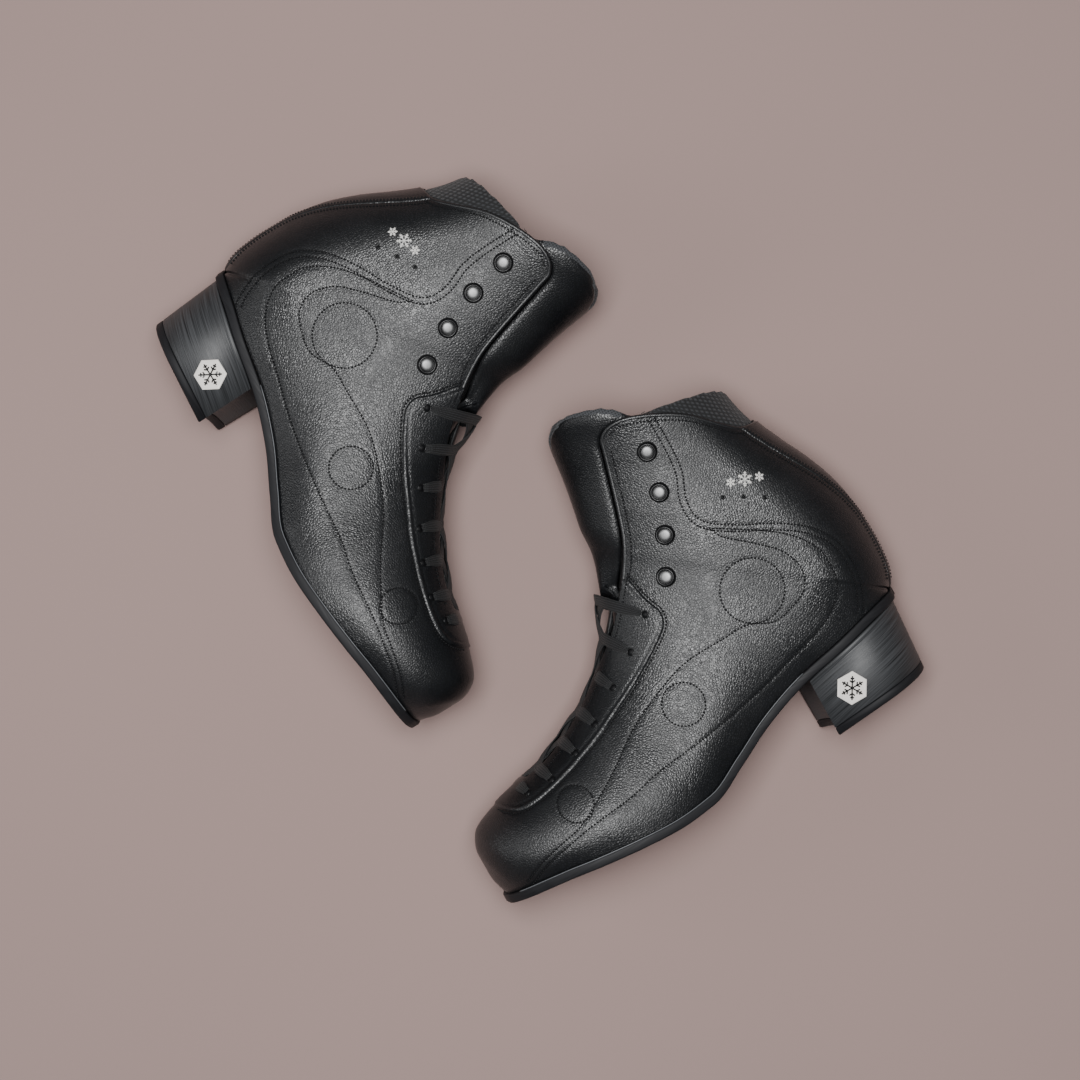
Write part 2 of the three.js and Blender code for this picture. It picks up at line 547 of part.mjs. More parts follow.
// ---------------------------------------------------------------- materials
const finish = (color, roughness, metalness = 0) =>
  new THREE.MeshStandardMaterial({ color, roughness, metalness });
const MATERIALS = {
  leather: finish(0x1b1d20, 0.45),
  knit: finish(0x151618, 0.9),
  lining: finish(0x18191b, 0.85),
  board: finish(0x8a7458, 0.8),
  steel: finish(0xb5b8bd, 0.3, 1),
  stiffener: finish(0x2a2a2c, 0.6),
  sole: finish(0x0f1012, 0.5),
  heel: finish(0x1c1e20, 0.5),
  badge: finish(0xe8e3dc, 0.35, 0.4),
  lace: finish(0x0c0c0e, 0.8),
  stud: finish(0x8d9093, 0.2, 1),
};

// ---------------------------------------------------------------- one boot
const outerLayer = layer(0, OUTER_THICKNESS);

function bootPieces() {
  const pieces = {
    vamp: [vamp(outerLayer), "leather"],
    lateral_quarter: [quarter(outerLayer, 1), "leather"],
    medial_quarter: [quarter(outerLayer, -1), "leather"],
    backstay: [backstay(outerLayer), "leather"],
    collar: [collar(), "knit"],
    lining: [lining(), "lining"],
    heel_counter: [heelCounter(), "stiffener"],
    toe_puff: [toePuff(), "stiffener"],
    tongue_base: [tongueBase(), "leather"],
    tongue_flap: [tongueFlap(), "leather"],
    insole_board: [slab(footprint(BOARD.inset), BOARD.bottom, BOARD.top), "board"],
    footbed: [slab(footprint(FOOTBED.inset), FOOTBED.bottom, FOOTBED.top), "lining"],
    shank: [shank(), "steel"],
    outsole: [outsole(), "sole"],
    heel_block: [heelBlock(), "heel"],
    top_lift: [topLift(), "heel"],
    heel_badge: [badge(), "badge"],
    laces: [laces(), "lace"],
  };
  STUDS.forEach(([x, z], i) => {
    pieces[`lateral_stud_${i + 1}`] = [stud(x, z, 1), "stud"];
    pieces[`medial_stud_${i + 1}`] = [stud(x, z, -1), "stud"];
  });
  return pieces;
}

function boot(name, pieces) {
  const group = new THREE.Group();
  for (const [piece, [solid, material]] of Object.entries(pieces)) {
    const mesh = new THREE.Mesh(fromSolid(solid), MATERIALS[material]);
    mesh.name = `${name}_${piece}`;
    group.add(mesh);
  }
  return group;
}

// ---------------------------------------------------------------- laying the pair down
// Each boot lies on its medial side, resting on three features of that side.
const RESTS_ON = {
  soleEdge: new THREE.Vector3(165.9, -42.1, 1.4),
  ankle: new THREE.Vector3(31.2, -36.8, 88.1),
  topStud: new THREE.Vector3(81.1, -43.4, 182.8),
};
const LEFT_AT = { x: 153.0, y: -167.1, toeAngle: 180 };
const RIGHT_AT = { x: -128.6, y: 209.0, toeAngle: -87.4 };

const RIGHT_WAY_UP = new THREE.Vector3(0, 1, 0);
const supportNormal = new THREE.Vector3()
  .crossVectors(RESTS_ON.ankle.clone().sub(RESTS_ON.soleEdge), RESTS_ON.topStud.clone().sub(RESTS_ON.soleEdge))
  .normalize();
if (supportNormal.y < 0) supportNormal.negate();
const levelling = new THREE.Matrix4().makeRotationFromQuaternion(
  new THREE.Quaternion().setFromUnitVectors(supportNormal, RIGHT_WAY_UP),
);

// Boot axes to the surface: x to the toe's direction, y to +Z, and z to the left of the toe.
// Mirrored, z goes to its right.
function placement({ x, y, toeAngle }, mirrored) {
  const a = THREE.MathUtils.degToRad(toeAngle);
  const toe = new THREE.Vector3(Math.cos(a), Math.sin(a), 0);
  const top = new THREE.Vector3(-toe.y, toe.x, 0).multiplyScalar(mirrored ? 1 : -1);
  const matrix = new THREE.Matrix4().makeBasis(toe, new THREE.Vector3(0, 0, 1), top).setPosition(x, y, 0);
  return matrix.multiply(levelling);
}

const pair = new THREE.Group();
const pieces = bootPieces();
for (const [name, at, mirrored] of [["left", LEFT_AT, false], ["right", RIGHT_AT, true]]) {
  const group = boot(name, pieces);
  group.matrixAutoUpdate = false;
  group.matrix.copy(placement(at, mirrored));
  group.updateMatrixWorld(true);
  const floor = new THREE.Box3().setFromObject(group, true).min.z;
  group.matrix.premultiply(new THREE.Matrix4().makeTranslation(0, 0, -floor));
  pair.add(group);
}

// The origin is on the surface, under the middle of the pair.
pair.updateMatrixWorld(true);
const box = new THREE.Box3().setFromObject(pair, true);
pair.position.set(-(box.min.x + box.max.x) / 2, -(box.min.y + box.max.y) / 2, -box.min.z);

export default pair;
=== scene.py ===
"""A pair of black leather figure skating boots, lying on their inner sides on a pale floor.

Each piece is shaped once in the boot's own axes, in millimetres: x from heel to toe, y to the outer
(lateral) side, z up from the ground. It is then placed as the left boot and, mirrored, as the right one.
"""
import json
import math

import bpy
import numpy as np
from mathutils import Matrix, Vector


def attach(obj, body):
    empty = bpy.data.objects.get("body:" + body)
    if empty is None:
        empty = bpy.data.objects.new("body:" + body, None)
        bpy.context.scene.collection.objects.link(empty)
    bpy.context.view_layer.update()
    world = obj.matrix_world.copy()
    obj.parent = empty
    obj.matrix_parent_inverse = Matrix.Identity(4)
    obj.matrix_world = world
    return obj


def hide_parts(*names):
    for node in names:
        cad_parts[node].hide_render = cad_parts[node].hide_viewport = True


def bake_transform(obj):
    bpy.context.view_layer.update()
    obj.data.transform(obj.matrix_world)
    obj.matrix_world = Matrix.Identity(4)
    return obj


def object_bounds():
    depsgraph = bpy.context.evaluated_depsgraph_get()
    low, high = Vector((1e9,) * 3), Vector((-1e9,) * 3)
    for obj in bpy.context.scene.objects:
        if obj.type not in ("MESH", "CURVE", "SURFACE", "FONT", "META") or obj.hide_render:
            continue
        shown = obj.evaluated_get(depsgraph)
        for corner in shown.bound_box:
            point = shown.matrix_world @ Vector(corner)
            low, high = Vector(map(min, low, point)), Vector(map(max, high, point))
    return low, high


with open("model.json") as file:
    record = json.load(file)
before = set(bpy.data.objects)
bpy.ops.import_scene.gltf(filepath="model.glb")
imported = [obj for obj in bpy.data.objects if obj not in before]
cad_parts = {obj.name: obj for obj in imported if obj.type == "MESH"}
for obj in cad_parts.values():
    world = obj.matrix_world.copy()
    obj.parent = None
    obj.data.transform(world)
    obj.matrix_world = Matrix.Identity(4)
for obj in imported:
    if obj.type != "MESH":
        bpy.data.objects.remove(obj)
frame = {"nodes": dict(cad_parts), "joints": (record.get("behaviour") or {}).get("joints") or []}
CAD_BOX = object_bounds()

MM = 0.001
SIDES = ("left", "right")
LATERAL, MEDIAL = 1, -1

# ------------------------------------------------------------------ the view
FRAME_WIDTH = 0.579  # metres across the picture, at the boots' middle height
CAMERA_HEIGHT = 1.5
CAMERA_ROLL = 29.5  # degrees
VIEW_CENTRE = (-0.0154, -0.0245)
TOE_HEADING = {"left": 180.0, "right": -87.4}  # degrees from +X, seen from above
FOLD_POINT = (139.5, 0.0, 110.0)  # where the tongue's hinge lies in the boot's axes

# ------------------------------------------------------------------ the boot's form
# Straight sections across the side view, from the bottom or back edge (bx, bz) to the front ridge (fx, fz).
# wl, wm: largest half-widths on the lateral and medial side; yl, ym: half-widths of the footprint;
# rf, rb: shares of the section that round off at the front and at the back.
COLUMNS = ("bx", "bz", "fx", "fz", "wl", "wm", "yl", "ym", "rf", "rb")
STATIONS = (
    (262.5, 13.0, 262.5, 13.0, 0, 0, 0, 0, 1.0, 0.5),
    (260.8, 13.0, 265.2, 25.0, 13.5, 15.5, 12, 14, 1.0, 0.5),
    (255.5, 13.0, 265.2, 37.0, 24.5, 26.5, 22, 24, 0.95, 0.5),
    (245.5, 12.9, 260.5, 48.6, 34, 34, 31, 31.5, 0.9, 0.5),
    (230.0, 12.2, 248.0, 55.0, 41, 39, 38, 36.5, 0.88, 0.45),
    (210.0, 10.2, 229.0, 60.0, 45.5, 42, 43, 39.5, 0.88, 0.4),
    (188.0, 8.3, 208.0, 66.5, 47, 43.5, 45, 41, 0.9, 0.35),
    (166.0, 7.0, 188.0, 75.5, 46, 43.5, 43, 40.5, 0.95, 0.32),
    (144.0, 8.6, 171.0, 85.5, 43, 41, 38, 35.5, 0.95, 0.3),
    (121.0, 18.3, 158.5, 96.5, 40, 38.5, 33, 30, 0.9, 0.3),
    (98.0, 29.3, 150.5, 109.0, 37.5, 37, 30, 27.5, 0.8, 0.32),
    (72.0, 38.4, 145.0, 121.0, 36, 36, 29.5, 28.5, 0.7, 0.34),
    (45.0, 44.2, 141.5, 131.5, 35.8, 35.8, 30, 29.5, 0.62, 0.33),
    (20.0, 50.0, 139.0, 140.0, 36, 36, 26, 26, 0.56, 0.3),
    (6.0, 52.2, 137.0, 147.5, 36.4, 36.4, 15, 15, 0.53, 0.28),
    (2.0, 52.6, 135.3, 154.0, 36.8, 36.8, 0, 0, 0.51, 0.27),
    (-3.0, 64.0, 133.8, 160.5, 37.2, 37.2, 0, 0, 0.5, 0.29),
    (-4.3, 80.0, 132.3, 167.5, 37.6, 37.6, 0, 0, 0.5, 0.32),
    (-3.6, 98.0, 130.8, 175.0, 38, 38, 0, 0, 0.5, 0.35),
    (-0.3, 116.0, 129.4, 183.0, 38, 38, 0, 0, 0.5, 0.38),
    (6.5, 134.5, 128.2, 191.0, 38, 38, 0, 0, 0.5, 0.4),
    (14.2, 150.0, 127.2, 199.0, 38.5, 38.5, 0, 0, 0.5, 0.42),
    (21.1, 165.1, 126.2, 207.0, 39.5, 39.5, 0, 0, 0.5, 0.43),
    (25.6, 180.0, 125.2, 214.0, 41, 41, 0, 0, 0.5, 0.44),
    (28.0, 195.0, 124.0, 221.0, 42.5, 42.5, 0, 0, 0.5, 0.45),
)
LAST_ROW = len(STATIONS) - 1
HEEL_CORNER_ROW = 15  # where the sole's edge turns up the back of the heel

# Outlines and seams in the side view, as (x, z).
FACING_EDGE = (
    (222.5, 60.8), (214, 62.4), (203, 66.0), (189, 72.6), (174, 81.8), (158, 94.2), (144.5, 106.5),
    (134, 119.2), (124, 132.6), (116.7, 146), (112, 160), (107.5, 176), (103.6, 191),
)
TOPLINE = (
    (102, 198.2), (97, 201.6), (88.7, 202), (78, 198.6), (71, 195.4), (63, 191.2), (54.6, 185.5),
    (43.8, 175.5), (35.2, 168.2), (28, 166), (17, 165),
)
COLLAR_TOP = (
    (8, 165), (8, 187), (25, 187.5), (28.5, 189.3), (32, 191.2), (38, 193.4), (53, 196.2), (68, 198.2),
    (79.5, 200.4),
)
FLAP_SIDE = ((102.5, 195.5), (100, 199.2), (96, 201.5), (88, 202.3), (80, 201))
TONGUE_TOP = (
    (78, 196), (83.2, 201), (86.9, 206), (94, 212), (105.4, 217.4), (114, 219), (120, 218),
    (124.5, 214), (127.5, 206), (130, 198),
)
BACKSTAY_EDGE = (
    (34, 167.2), (27.7, 155.3), (19.1, 141), (8.6, 123.4), (2, 109), (-1.9, 94.5), (-2.6, 79.4),
    (-1.2, 65.7), (3.5, 50),
)
EYESTAY_EDGE = (
    (124.5, 128), (121.8, 114), (118.5, 104), (121.7, 96), (132.7, 87.6), (148.6, 77.8), (166.1, 69),
    (180.3, 62.4), (196, 56.7), (208.3, 53.0), (222.7, 49.8), (233.5, 49.4), (241, 53), (247, 60),
)
HEEL_SEAM = (
    (72.4, 194.1), (72.1, 176.2), (73.6, 162.5), (78.3, 150.6), (78.8, 140.4), (74, 132.5), (60.2, 123.7),
    (44, 115.5), (29.1, 105), (19.6, 92.3), (17, 78.4), (18.6, 64.7), (22.3, 54.3), (25, 50),
)
SOLE_SEAM = (
    (73.7, 129.2), (53.6, 116.8), (39.2, 105.5), (30.2, 92.1), (29.2, 79), (31.3, 69.8), (39.9, 60.1),
    (54.1, 53.5), (68.9, 49.4), (96.1, 41.9), (130.5, 36.3), (161.5, 33), (180.4, 29.1), (204.9, 26.3),
    (221.3, 23.1), (236.1, 19), (247, 13.5),
)
INSTEP_SEAM = (
    (75.3, 130.1), (71.2, 122.6), (57.2, 110.5), (46.8, 99.4), (43.4, 87.1), (48, 77.1), (58, 72.4),
    (69.4, 70.5), (82.9, 76.1), (97.6, 76), (121.2, 74.8), (141.8, 67.8), (161.8, 58.2), (182, 44.6),
    (200.4, 34.2), (212, 28.6), (224, 25.8), (238, 21.6), (249, 16),
)
CIRCLES = (((71.6, 90.5), 17.2), ((132.5, 56.6), 11.4), ((207.6, 39.9), 9.4))
EYELETS = (
    (226, 54.8), (211.8, 55.4), (194.1, 61.2), (177.5, 69), (159.4, 80.8), (142.2, 92.9), (126, 106.7),
)
STUDS = ((107.1, 118.9), (96.9, 138.6), (88.8, 159.6), (84.2, 181.4))
VENTS = ((61.4, 141), (51.6, 135.9), (42, 130))
MOTIF_CENTRE = (46.5, 143.5)
BADGE = {"x": 50.0, "z": 19.0, "radius": 9.0}

# Thicknesses and depths below the outer surface.
LEATHER = 2.2
LINING = (2.4, 5.8)
OVERLAY = 1.1
COLLAR_DEPTH = (1.2, 6.6)
STITCH = {"pitch": 1.85, "length": 1.3, "radius": 0.45}
STITCH_RINGS = ((0.0, -0.3, 0.5), (0.22, 0.12, 1.0), (0.78, 0.12, 1.0), (1.0, -0.3, 0.5))  # share, lift, size
LACE = {"width": 6.2, "thickness": 1.1, "lift": 1.6, "sunk": 2.7}
OUTSOLE = {"overhang": 1.6, "thickness": 5.0, "gap": 0.6}
HEEL = {"front": 68, "back": 3.5, "top": 31, "bottom": 28.5, "breast": 5, "rear_slope": 3}
HEEL_BASE = ((5.7, 5.3), (67.6, 0.1))
TOP_LIFT = 4.4
TONGUE = {
    "start": 5.6, "fold": 11.5, "recess": 8.4, "flap_depth": 1.4, "laced_depth": 3.4, "thickness": 5.0,
    "hem": 2.2, "felt": 4.6,
}


# ------------------------------------------------------------------ curves and the surface
def monotone(values):
    """Monotone cubic interpolation through values at 0, 1, 2, ..."""
    values = np.asarray(values, float)
    step = np.diff(values)
    product = step[:-1] * step[1:]
    total = np.where(product > 0, step[:-1] + step[1:], 1)
    slope = np.concatenate([step[:1], np.where(product > 0, 2 * product / total, 0), step[-1:]])

    def at(u):
        i = np.clip(np.floor(u).astype(int), 0, len(values) - 2)
        t = u - i
        a = 1 - t
        ends = values[i] * (1 + 2 * t) * a * a + values[i + 1] * t * t * (3 - 2 * t)
        return ends + slope[i] * t * a * a + slope[i + 1] * t * t * (t - 1)

    return at


station = {key: monotone([row[k] for row in STATIONS]) for k, key in enumerate(COLUMNS)}


def rounding(t, start=0.0):
    left = 1 - np.clip(t, 0, 1)
    return np.sqrt(np.maximum(0, 1 - (1 - start * start) * left * left))


def folded(w):
    """Angles run from the ridge, 0, to the bottom or back edge: PI laterally, -PI medially."""
    return np.where(w > math.pi, w - 2 * math.pi, np.where(w < -math.pi, w + 2 * math.pi, w))


def side_view(u, c):
    bx, bz = station["bx"](u), station["bz"](u)
    return bx + (station["fx"](u) - bx) * c, bz + (station["fz"](u) - bz) * c


def surface(u, w):
    u, w = np.broadcast_arrays(np.asarray(u, float), folded(np.asarray(w, float)))
    lateral = w >= 0
    c = (1 + np.cos(w)) / 2
    width = np.where(lateral, station["wl"](u), station["wm"](u))
    foot = np.where(lateral, station["yl"](u), station["ym"](u))
    share = np.where(width > 0.01, np.minimum(1, foot / np.maximum(width, 0.01)), 0)
    y = width * rounding((1 - c) / station["rf"](u)) * rounding(c / station["rb"](u), share)
    x, z = side_view(u, c)
    return np.stack([x, np.where(lateral, y, -y), z], -1)


def outward(u, w, step=0.03):
    u, w = np.broadcast_arrays(np.asarray(u, float), folded(np.asarray(w, float)))
    closed = u >= HEEL_CORNER_ROW
    low = np.where(closed, w - step, np.maximum(w - step, -math.pi))
    high = np.where(closed, w + step, np.minimum(w + step, math.pi))
    across = surface(u, high) - surface(u, low)
    along = surface(np.minimum(LAST_ROW, u + step), w) - surface(np.maximum(0, u - step), w)
    normal = np.cross(across, along)
    length = np.linalg.norm(normal, axis=-1, keepdims=True)
    normal = np.where(length > 1e-9, normal / np.maximum(length, 1e-9), 0)
    return np.where(u[..., None] < 0.02, np.array([1.0, 0, 0]), normal)


def raised(u, w, height):
    return surface(u, w) + outward(u, w) * np.asarray(height)[..., None]


COARSE_U, COARSE_C = np.meshgrid(np.linspace(0, LAST_ROW, 193), np.linspace(0, 1, 41), indexing="ij")
COARSE = np.stack(side_view(COARSE_U, COARSE_C), -1).reshape(-1, 2)


def locate(points, side):
    """The surface parameters (u, w) of side view points, on one side."""
    points = np.asarray(points, float)
    nearest = [int(((COARSE - p) ** 2).sum(1).argmin()) for p in points]
    u = COARSE_U.ravel()[nearest].copy()
    c = np.clip(COARSE_C.ravel()[nearest], 0.002, 0.998)
    for _ in range(6):
        h = 1e-3
        x, z = side_view(u, c)
        xu, zu = (np.array(side_view(u + h, c)) - (x, z)) / h
        xc, zc = (np.array(side_view(u, c + h)) - (x, z)) / h
        det = xu * zc - xc * zu
        det = np.where(np.abs(det) < 1e-6, 1e-6, det)
        dx, dz = points[:, 0] - x, points[:, 1] - z
        u = np.clip(u + np.clip((dx * zc - dz * xc) / det, -0.5, 0.5), 0, LAST_ROW)
        c = np.clip(c + np.clip((dz * xu - dx * zu) / det, -0.1, 0.1), 0, 1)
    return u, side * np.arccos(np.clip(2 * c - 1, -1, 1))


def spline(points, steps=8):
    """A smooth curve through points, as an array."""
    p = np.asarray(points, float)
    p = np.vstack([2 * p[0] - p[1], p, 2 * p[-1] - p[-2]])
    out = []
    for i in range(1, len(p) - 2):
        t = np.linspace(0, 1, steps, endpoint=False)[:, None]
        a, b, c, d = p[i - 1 : i + 3]
        square, cube = 2 * a - 5 * b + 4 * c - d, 3 * b - a - 3 * c + d
        out.append(0.5 * (2 * b + (c - a) * t + square * t**2 + cube * t**3))
    return np.vstack([*out, p[-2]])


def ring(centre, radius, steps=48):
    a = np.linspace(0, 2 * math.pi, steps + 1)
    return np.stack([centre[0] + radius * np.cos(a), centre[1] + radius * np.sin(a)], -1)


def parallel(line, distance):
    run = np.gradient(line, axis=0)
    run /= np.linalg.norm(run, axis=1, keepdims=True)
    return line + np.stack([-run[:, 1], run[:, 0]], -1) * distance


def even(line, pitch):
    """The line's points, resampled to an even pitch."""
    steps = np.linalg.norm(np.diff(line, axis=0), axis=1)
    along = np.concatenate([[0], np.cumsum(steps)])
    count = max(2, int(along[-1] / pitch) + 1)
    at = np.linspace(0, along[-1], count)
    return np.stack([np.interp(at, along, line[:, k]) for k in range(line.shape[1])], -1)


def distance_to(points, line):
    out = np.full(len(points), np.inf)
    for a, b in zip(line[:-1], line[1:]):
        run = b - a
        t = np.clip(((points - a) @ run) / max(run @ run, 1e-12), 0, 1)
        out = np.minimum(out, np.linalg.norm(points - a - t[:, None] * run, axis=1))
    return out


def inside(points, outline):
    """Distance to an outline in the side view, positive within it."""
    closed = np.vstack([outline, outline[:1]])
    odd = np.zeros(len(points), bool)
    x, z = points.T
    for (ax, az), (bx, bz) in zip(closed[:-1], closed[1:]):
        if az == bz:
            continue
        odd ^= ((az > z) != (bz > z)) & (x < (bx - ax) * (z - az) / (bz - az) + ax)
    return np.where(odd, 1, -1) * distance_to(points, closed)


facing = spline(FACING_EDGE)
topline = spline(TOPLINE)
backstay_edge = spline(BACKSTAY_EDGE)
eyestay_edge = spline(EYESTAY_EDGE)
heel_seam = spline(HEEL_SEAM)
SEAMS = [heel_seam, parallel(heel_seam, 3.4), spline(SOLE_SEAM), spline(INSTEP_SEAM)]
SEAMS += [ring(*circle) for circle in CIRCLES]
TOE_REGION = [(290, -20), (290, 90), (232, 90), (226, 62.3)]
UPPER = np.vstack([TOE_REGION, facing, topline, [(-30, 164.6), (-30, -20)]])
EYESTAY = np.vstack([eyestay_edge, [(262, 95), (232, 90), (226, 62.3)], facing[:66]])
BACKSTAY = np.vstack([backstay_edge, [(-30, 30), (-30, 164.7), (26, 165.2)]])
COLLAR = np.vstack([parallel(topline, -0.3)[topline[:, 0] < 80], COLLAR_TOP])


# ------------------------------------------------------------------ meshes
placements = {}
for side_name in SIDES:
    joint = next(j for j in frame["joints"] if j["name"] == f"{side_name}_tongue_fold")
    turn = math.radians(TOE_HEADING[side_name])
    mirrored = side_name == "right"
    toe = Vector((math.cos(turn), math.sin(turn), 0))
    top = Vector((-toe.y, toe.x, 0)) * (1 if mirrored else -1)
    flat = Matrix((toe, Vector((0, 0, 1)), top)).transposed()
    lateral_axis = Vector(joint["axis"]) * (-1 if mirrored else 1)
    tilt = Vector((0, 1, 0)).rotation_difference(flat.inverted() @ lateral_axis).to_matrix()
    turned = flat @ tilt
    origin = Vector(joint["pos_m"]) - turned @ (Vector(FOLD_POINT) * MM)
    placements[side_name] = (np.array(turned), np.array(origin), mirrored)


def placed(points, side_name):
    turned, origin, _ = placements[side_name]
    return np.asarray(points) * MM @ turned.T + origin


def add_mesh(name, points, faces, materials, coords=None, uv=None, slots=None, smooth=True):
    """A mesh object in the row frame; coords go along as the attribute that the materials read."""
    mesh = bpy.data.meshes.new(name)
    mesh.from_pydata([tuple(p) for p in points], [], [tuple(int(i) for i in f) for f in faces])
    if coords is not None:
        attribute = mesh.attributes.new("boot", "FLOAT_VECTOR", "POINT")
        attribute.data.foreach_set("vector", np.asarray(coords, np.float32).ravel())
    if uv is not None:
        layer = mesh.uv_layers.new(name="UVMap")
        loops = np.zeros(len(mesh.loops), np.int32)
        mesh.loops.foreach_get("vertex_index", loops)
        layer.data.foreach_set("uv", np.asarray(uv, np.float32)[loops].ravel())
    for material in materials:
        mesh.materials.append(material)
    if slots is not None:
        mesh.polygons.foreach_set("material_index", np.asarray(slots, np.int32))
    if smooth:
        mesh.polygons.foreach_set("use_smooth", np.ones(len(mesh.polygons), bool))
    mesh.update()
    obj = bpy.data.objects.new(name, mesh)
    bpy.context.scene.collection.objects.link(obj)
    return obj


def both(name, points, faces, materials, replaces=(), body="boot", uv=None, slots=None, smooth=True):
    """The piece on each boot, riding on its body and standing for its CAD nodes."""
    made = {}
    for side_name in SIDES:
        turned = turned_over(faces) if placements[side_name][2] else faces
        world = placed(points, side_name)
        obj = add_mesh(f"{side_name}_{name}", world, turned, materials, points, uv, slots, smooth)
        if body:
            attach(obj, f"{side_name}_{body}")
        if replaces:
            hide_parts(*(f"{side_name}_{node}" for node in replaces))
        made[side_name] = obj
    return made


def joined(parts):
    """One mesh from several (points, faces)."""
    points, faces, start = [], [], 0
    for p, f in parts:
        points.append(np.asarray(p, float))
        faces.extend(tuple(i + start for i in face) for face in f)
        start += len(p)
    return np.vstack(points), faces


def parameter_grid(u0, u1, rows, w0, w1, columns):
    u, w = np.meshgrid(np.linspace(u0, u1, rows + 1), np.linspace(w0, w1, columns + 1), indexing="ij")
    index = np.arange(u.size).reshape(u.shape)
    a, b, c, d = index[:-1, :-1], index[1:, :-1], index[1:, 1:], index[:-1, 1:]
    triangles = [np.stack(corners, -1).reshape(-1, 3) for corners in ((a, b, c), (a, c, d))]
    return np.stack([u.ravel(), w.ravel()], -1), np.concatenate(triangles)


def clip(params, triangles, field):
    """The part of a parameter mesh where field, given at its vertices, is positive."""
    within = field > 0
    count = within[triangles].sum(1)
    kept = triangles[count == 3]
    mixed = triangles[(count == 1) | (count == 2)]
    one = within[mixed].sum(1) == 1
    odd = np.where(one[:, None], within[mixed], ~within[mixed]).argmax(1)
    turned = np.take_along_axis(mixed, (odd[:, None] + np.arange(3)) % 3, 1)
    pairs = np.sort(np.concatenate([turned[:, [0, 1]], turned[:, [0, 2]]]), axis=1)
    edges, index = np.unique(pairs, axis=0, return_inverse=True)
    index = index.reshape(-1)
    low, high = field[edges[:, 0]], field[edges[:, 1]]
    share = (low / (low - high))[:, None]
    cut = params[edges[:, 0]] * (1 - share) + params[edges[:, 1]] * share
    ab, ac = len(params) + index[: len(turned)], len(params) + index[len(turned) :]
    a, b, c = turned.T
    new = [
        np.stack([a, ab, ac], -1)[one],
        np.stack([ab, b, c], -1)[~one],
        np.stack([ab, c, ac], -1)[~one],
    ]
    faces = np.concatenate([kept, *new])
    used, flat_index = np.unique(faces, return_inverse=True)
    return np.vstack([params, cut])[used], flat_index.reshape(-1, 3)


def shell(params, triangles, outer, inner):
    """A closed sheet between two heights over the surface, given at the vertices or as one value."""
    u, w = params.T
    count = len(params)
    outer, inner = np.broadcast_to(outer, count), np.broadcast_to(inner, count)
    top, low = raised(u, w, outer), raised(u, w, inner)
    middle = raised(u, w, (outer + inner) / 2)
    directed = np.concatenate([triangles[:, [0, 1]], triangles[:, [1, 2]], triangles[:, [2, 0]]])
    have = set(map(tuple, directed.tolist()))
    rim = [(a, b) for a, b in have if (b, a) not in have]
    faces = [tuple(t) for t in triangles.tolist()]
    faces += [(a + count, c + count, b + count) for a, b, c in triangles.tolist()]
    for a, b in rim:
        faces.append((b, a, a + 2 * count, b + 2 * count))
        faces.append((b + 2 * count, a + 2 * count, a + count, b + count))
    return np.vstack([top, low, middle]), faces


def seam_dip(params, lines, depth=0.25, reach=1.0):
    """How far the surface is drawn in along seams."""
    xz = surface(*params.T)[:, [0, 2]]
    near = np.full(len(xz), np.inf)
    for line in lines:
        low, high = line.min(0) - 6, line.max(0) + 6
        close = ((xz > low) & (xz < high)).all(1)
        near[close] = np.minimum(near[close], distance_to(xz[close], even(line, 3)))
    return -depth * np.exp(-((near / reach) ** 2))


def bands(rows, count, start=0):
    """Quads between successive rings of count points."""
    quads = []
    for low in range(start, start + rows * count, count):
        high = low + count
        for j in range(count):
            k = (j + 1) % count
            quads.append((low + j, low + k, high + k, high + j))
    return quads


def turned_over(faces):
    return [tuple(reversed(face)) for face in faces]


def tube(points, radius, sides=8, closed=False):
    """A round strand along points."""
    p = np.asarray(points, float)
    run = np.roll(p, -1, 0) - np.roll(p, 1, 0) if closed else np.gradient(p, axis=0)
    run /= np.linalg.norm(run, axis=1, keepdims=True)
    across = np.cross(run, np.array([0.13, 0.97, 0.21]))
    across /= np.linalg.norm(across, axis=1, keepdims=True)
    other = np.cross(run, across)
    a = np.linspace(0, 2 * math.pi, sides, endpoint=False)
    radii = np.broadcast_to(radius, len(p))[:, None, None]
    circle = np.cos(a)[None, :, None] * across[:, None] + np.sin(a)[None, :, None] * other[:, None]
    points_out = (p[:, None] + circle * radii).reshape(-1, 3)
    faces = bands(len(p) - 1, sides)
    if closed:
        last = (len(p) - 1) * sides
        around = [(j, (j + 1) % sides) for j in range(sides)]
        faces += [(last + j, last + k, k, j) for j, k in around]
    else:
        faces.append(tuple(range(sides - 1, -1, -1)))
        faces.append(tuple((len(p) - 1) * sides + j for j in range(sides)))
    return points_out, faces


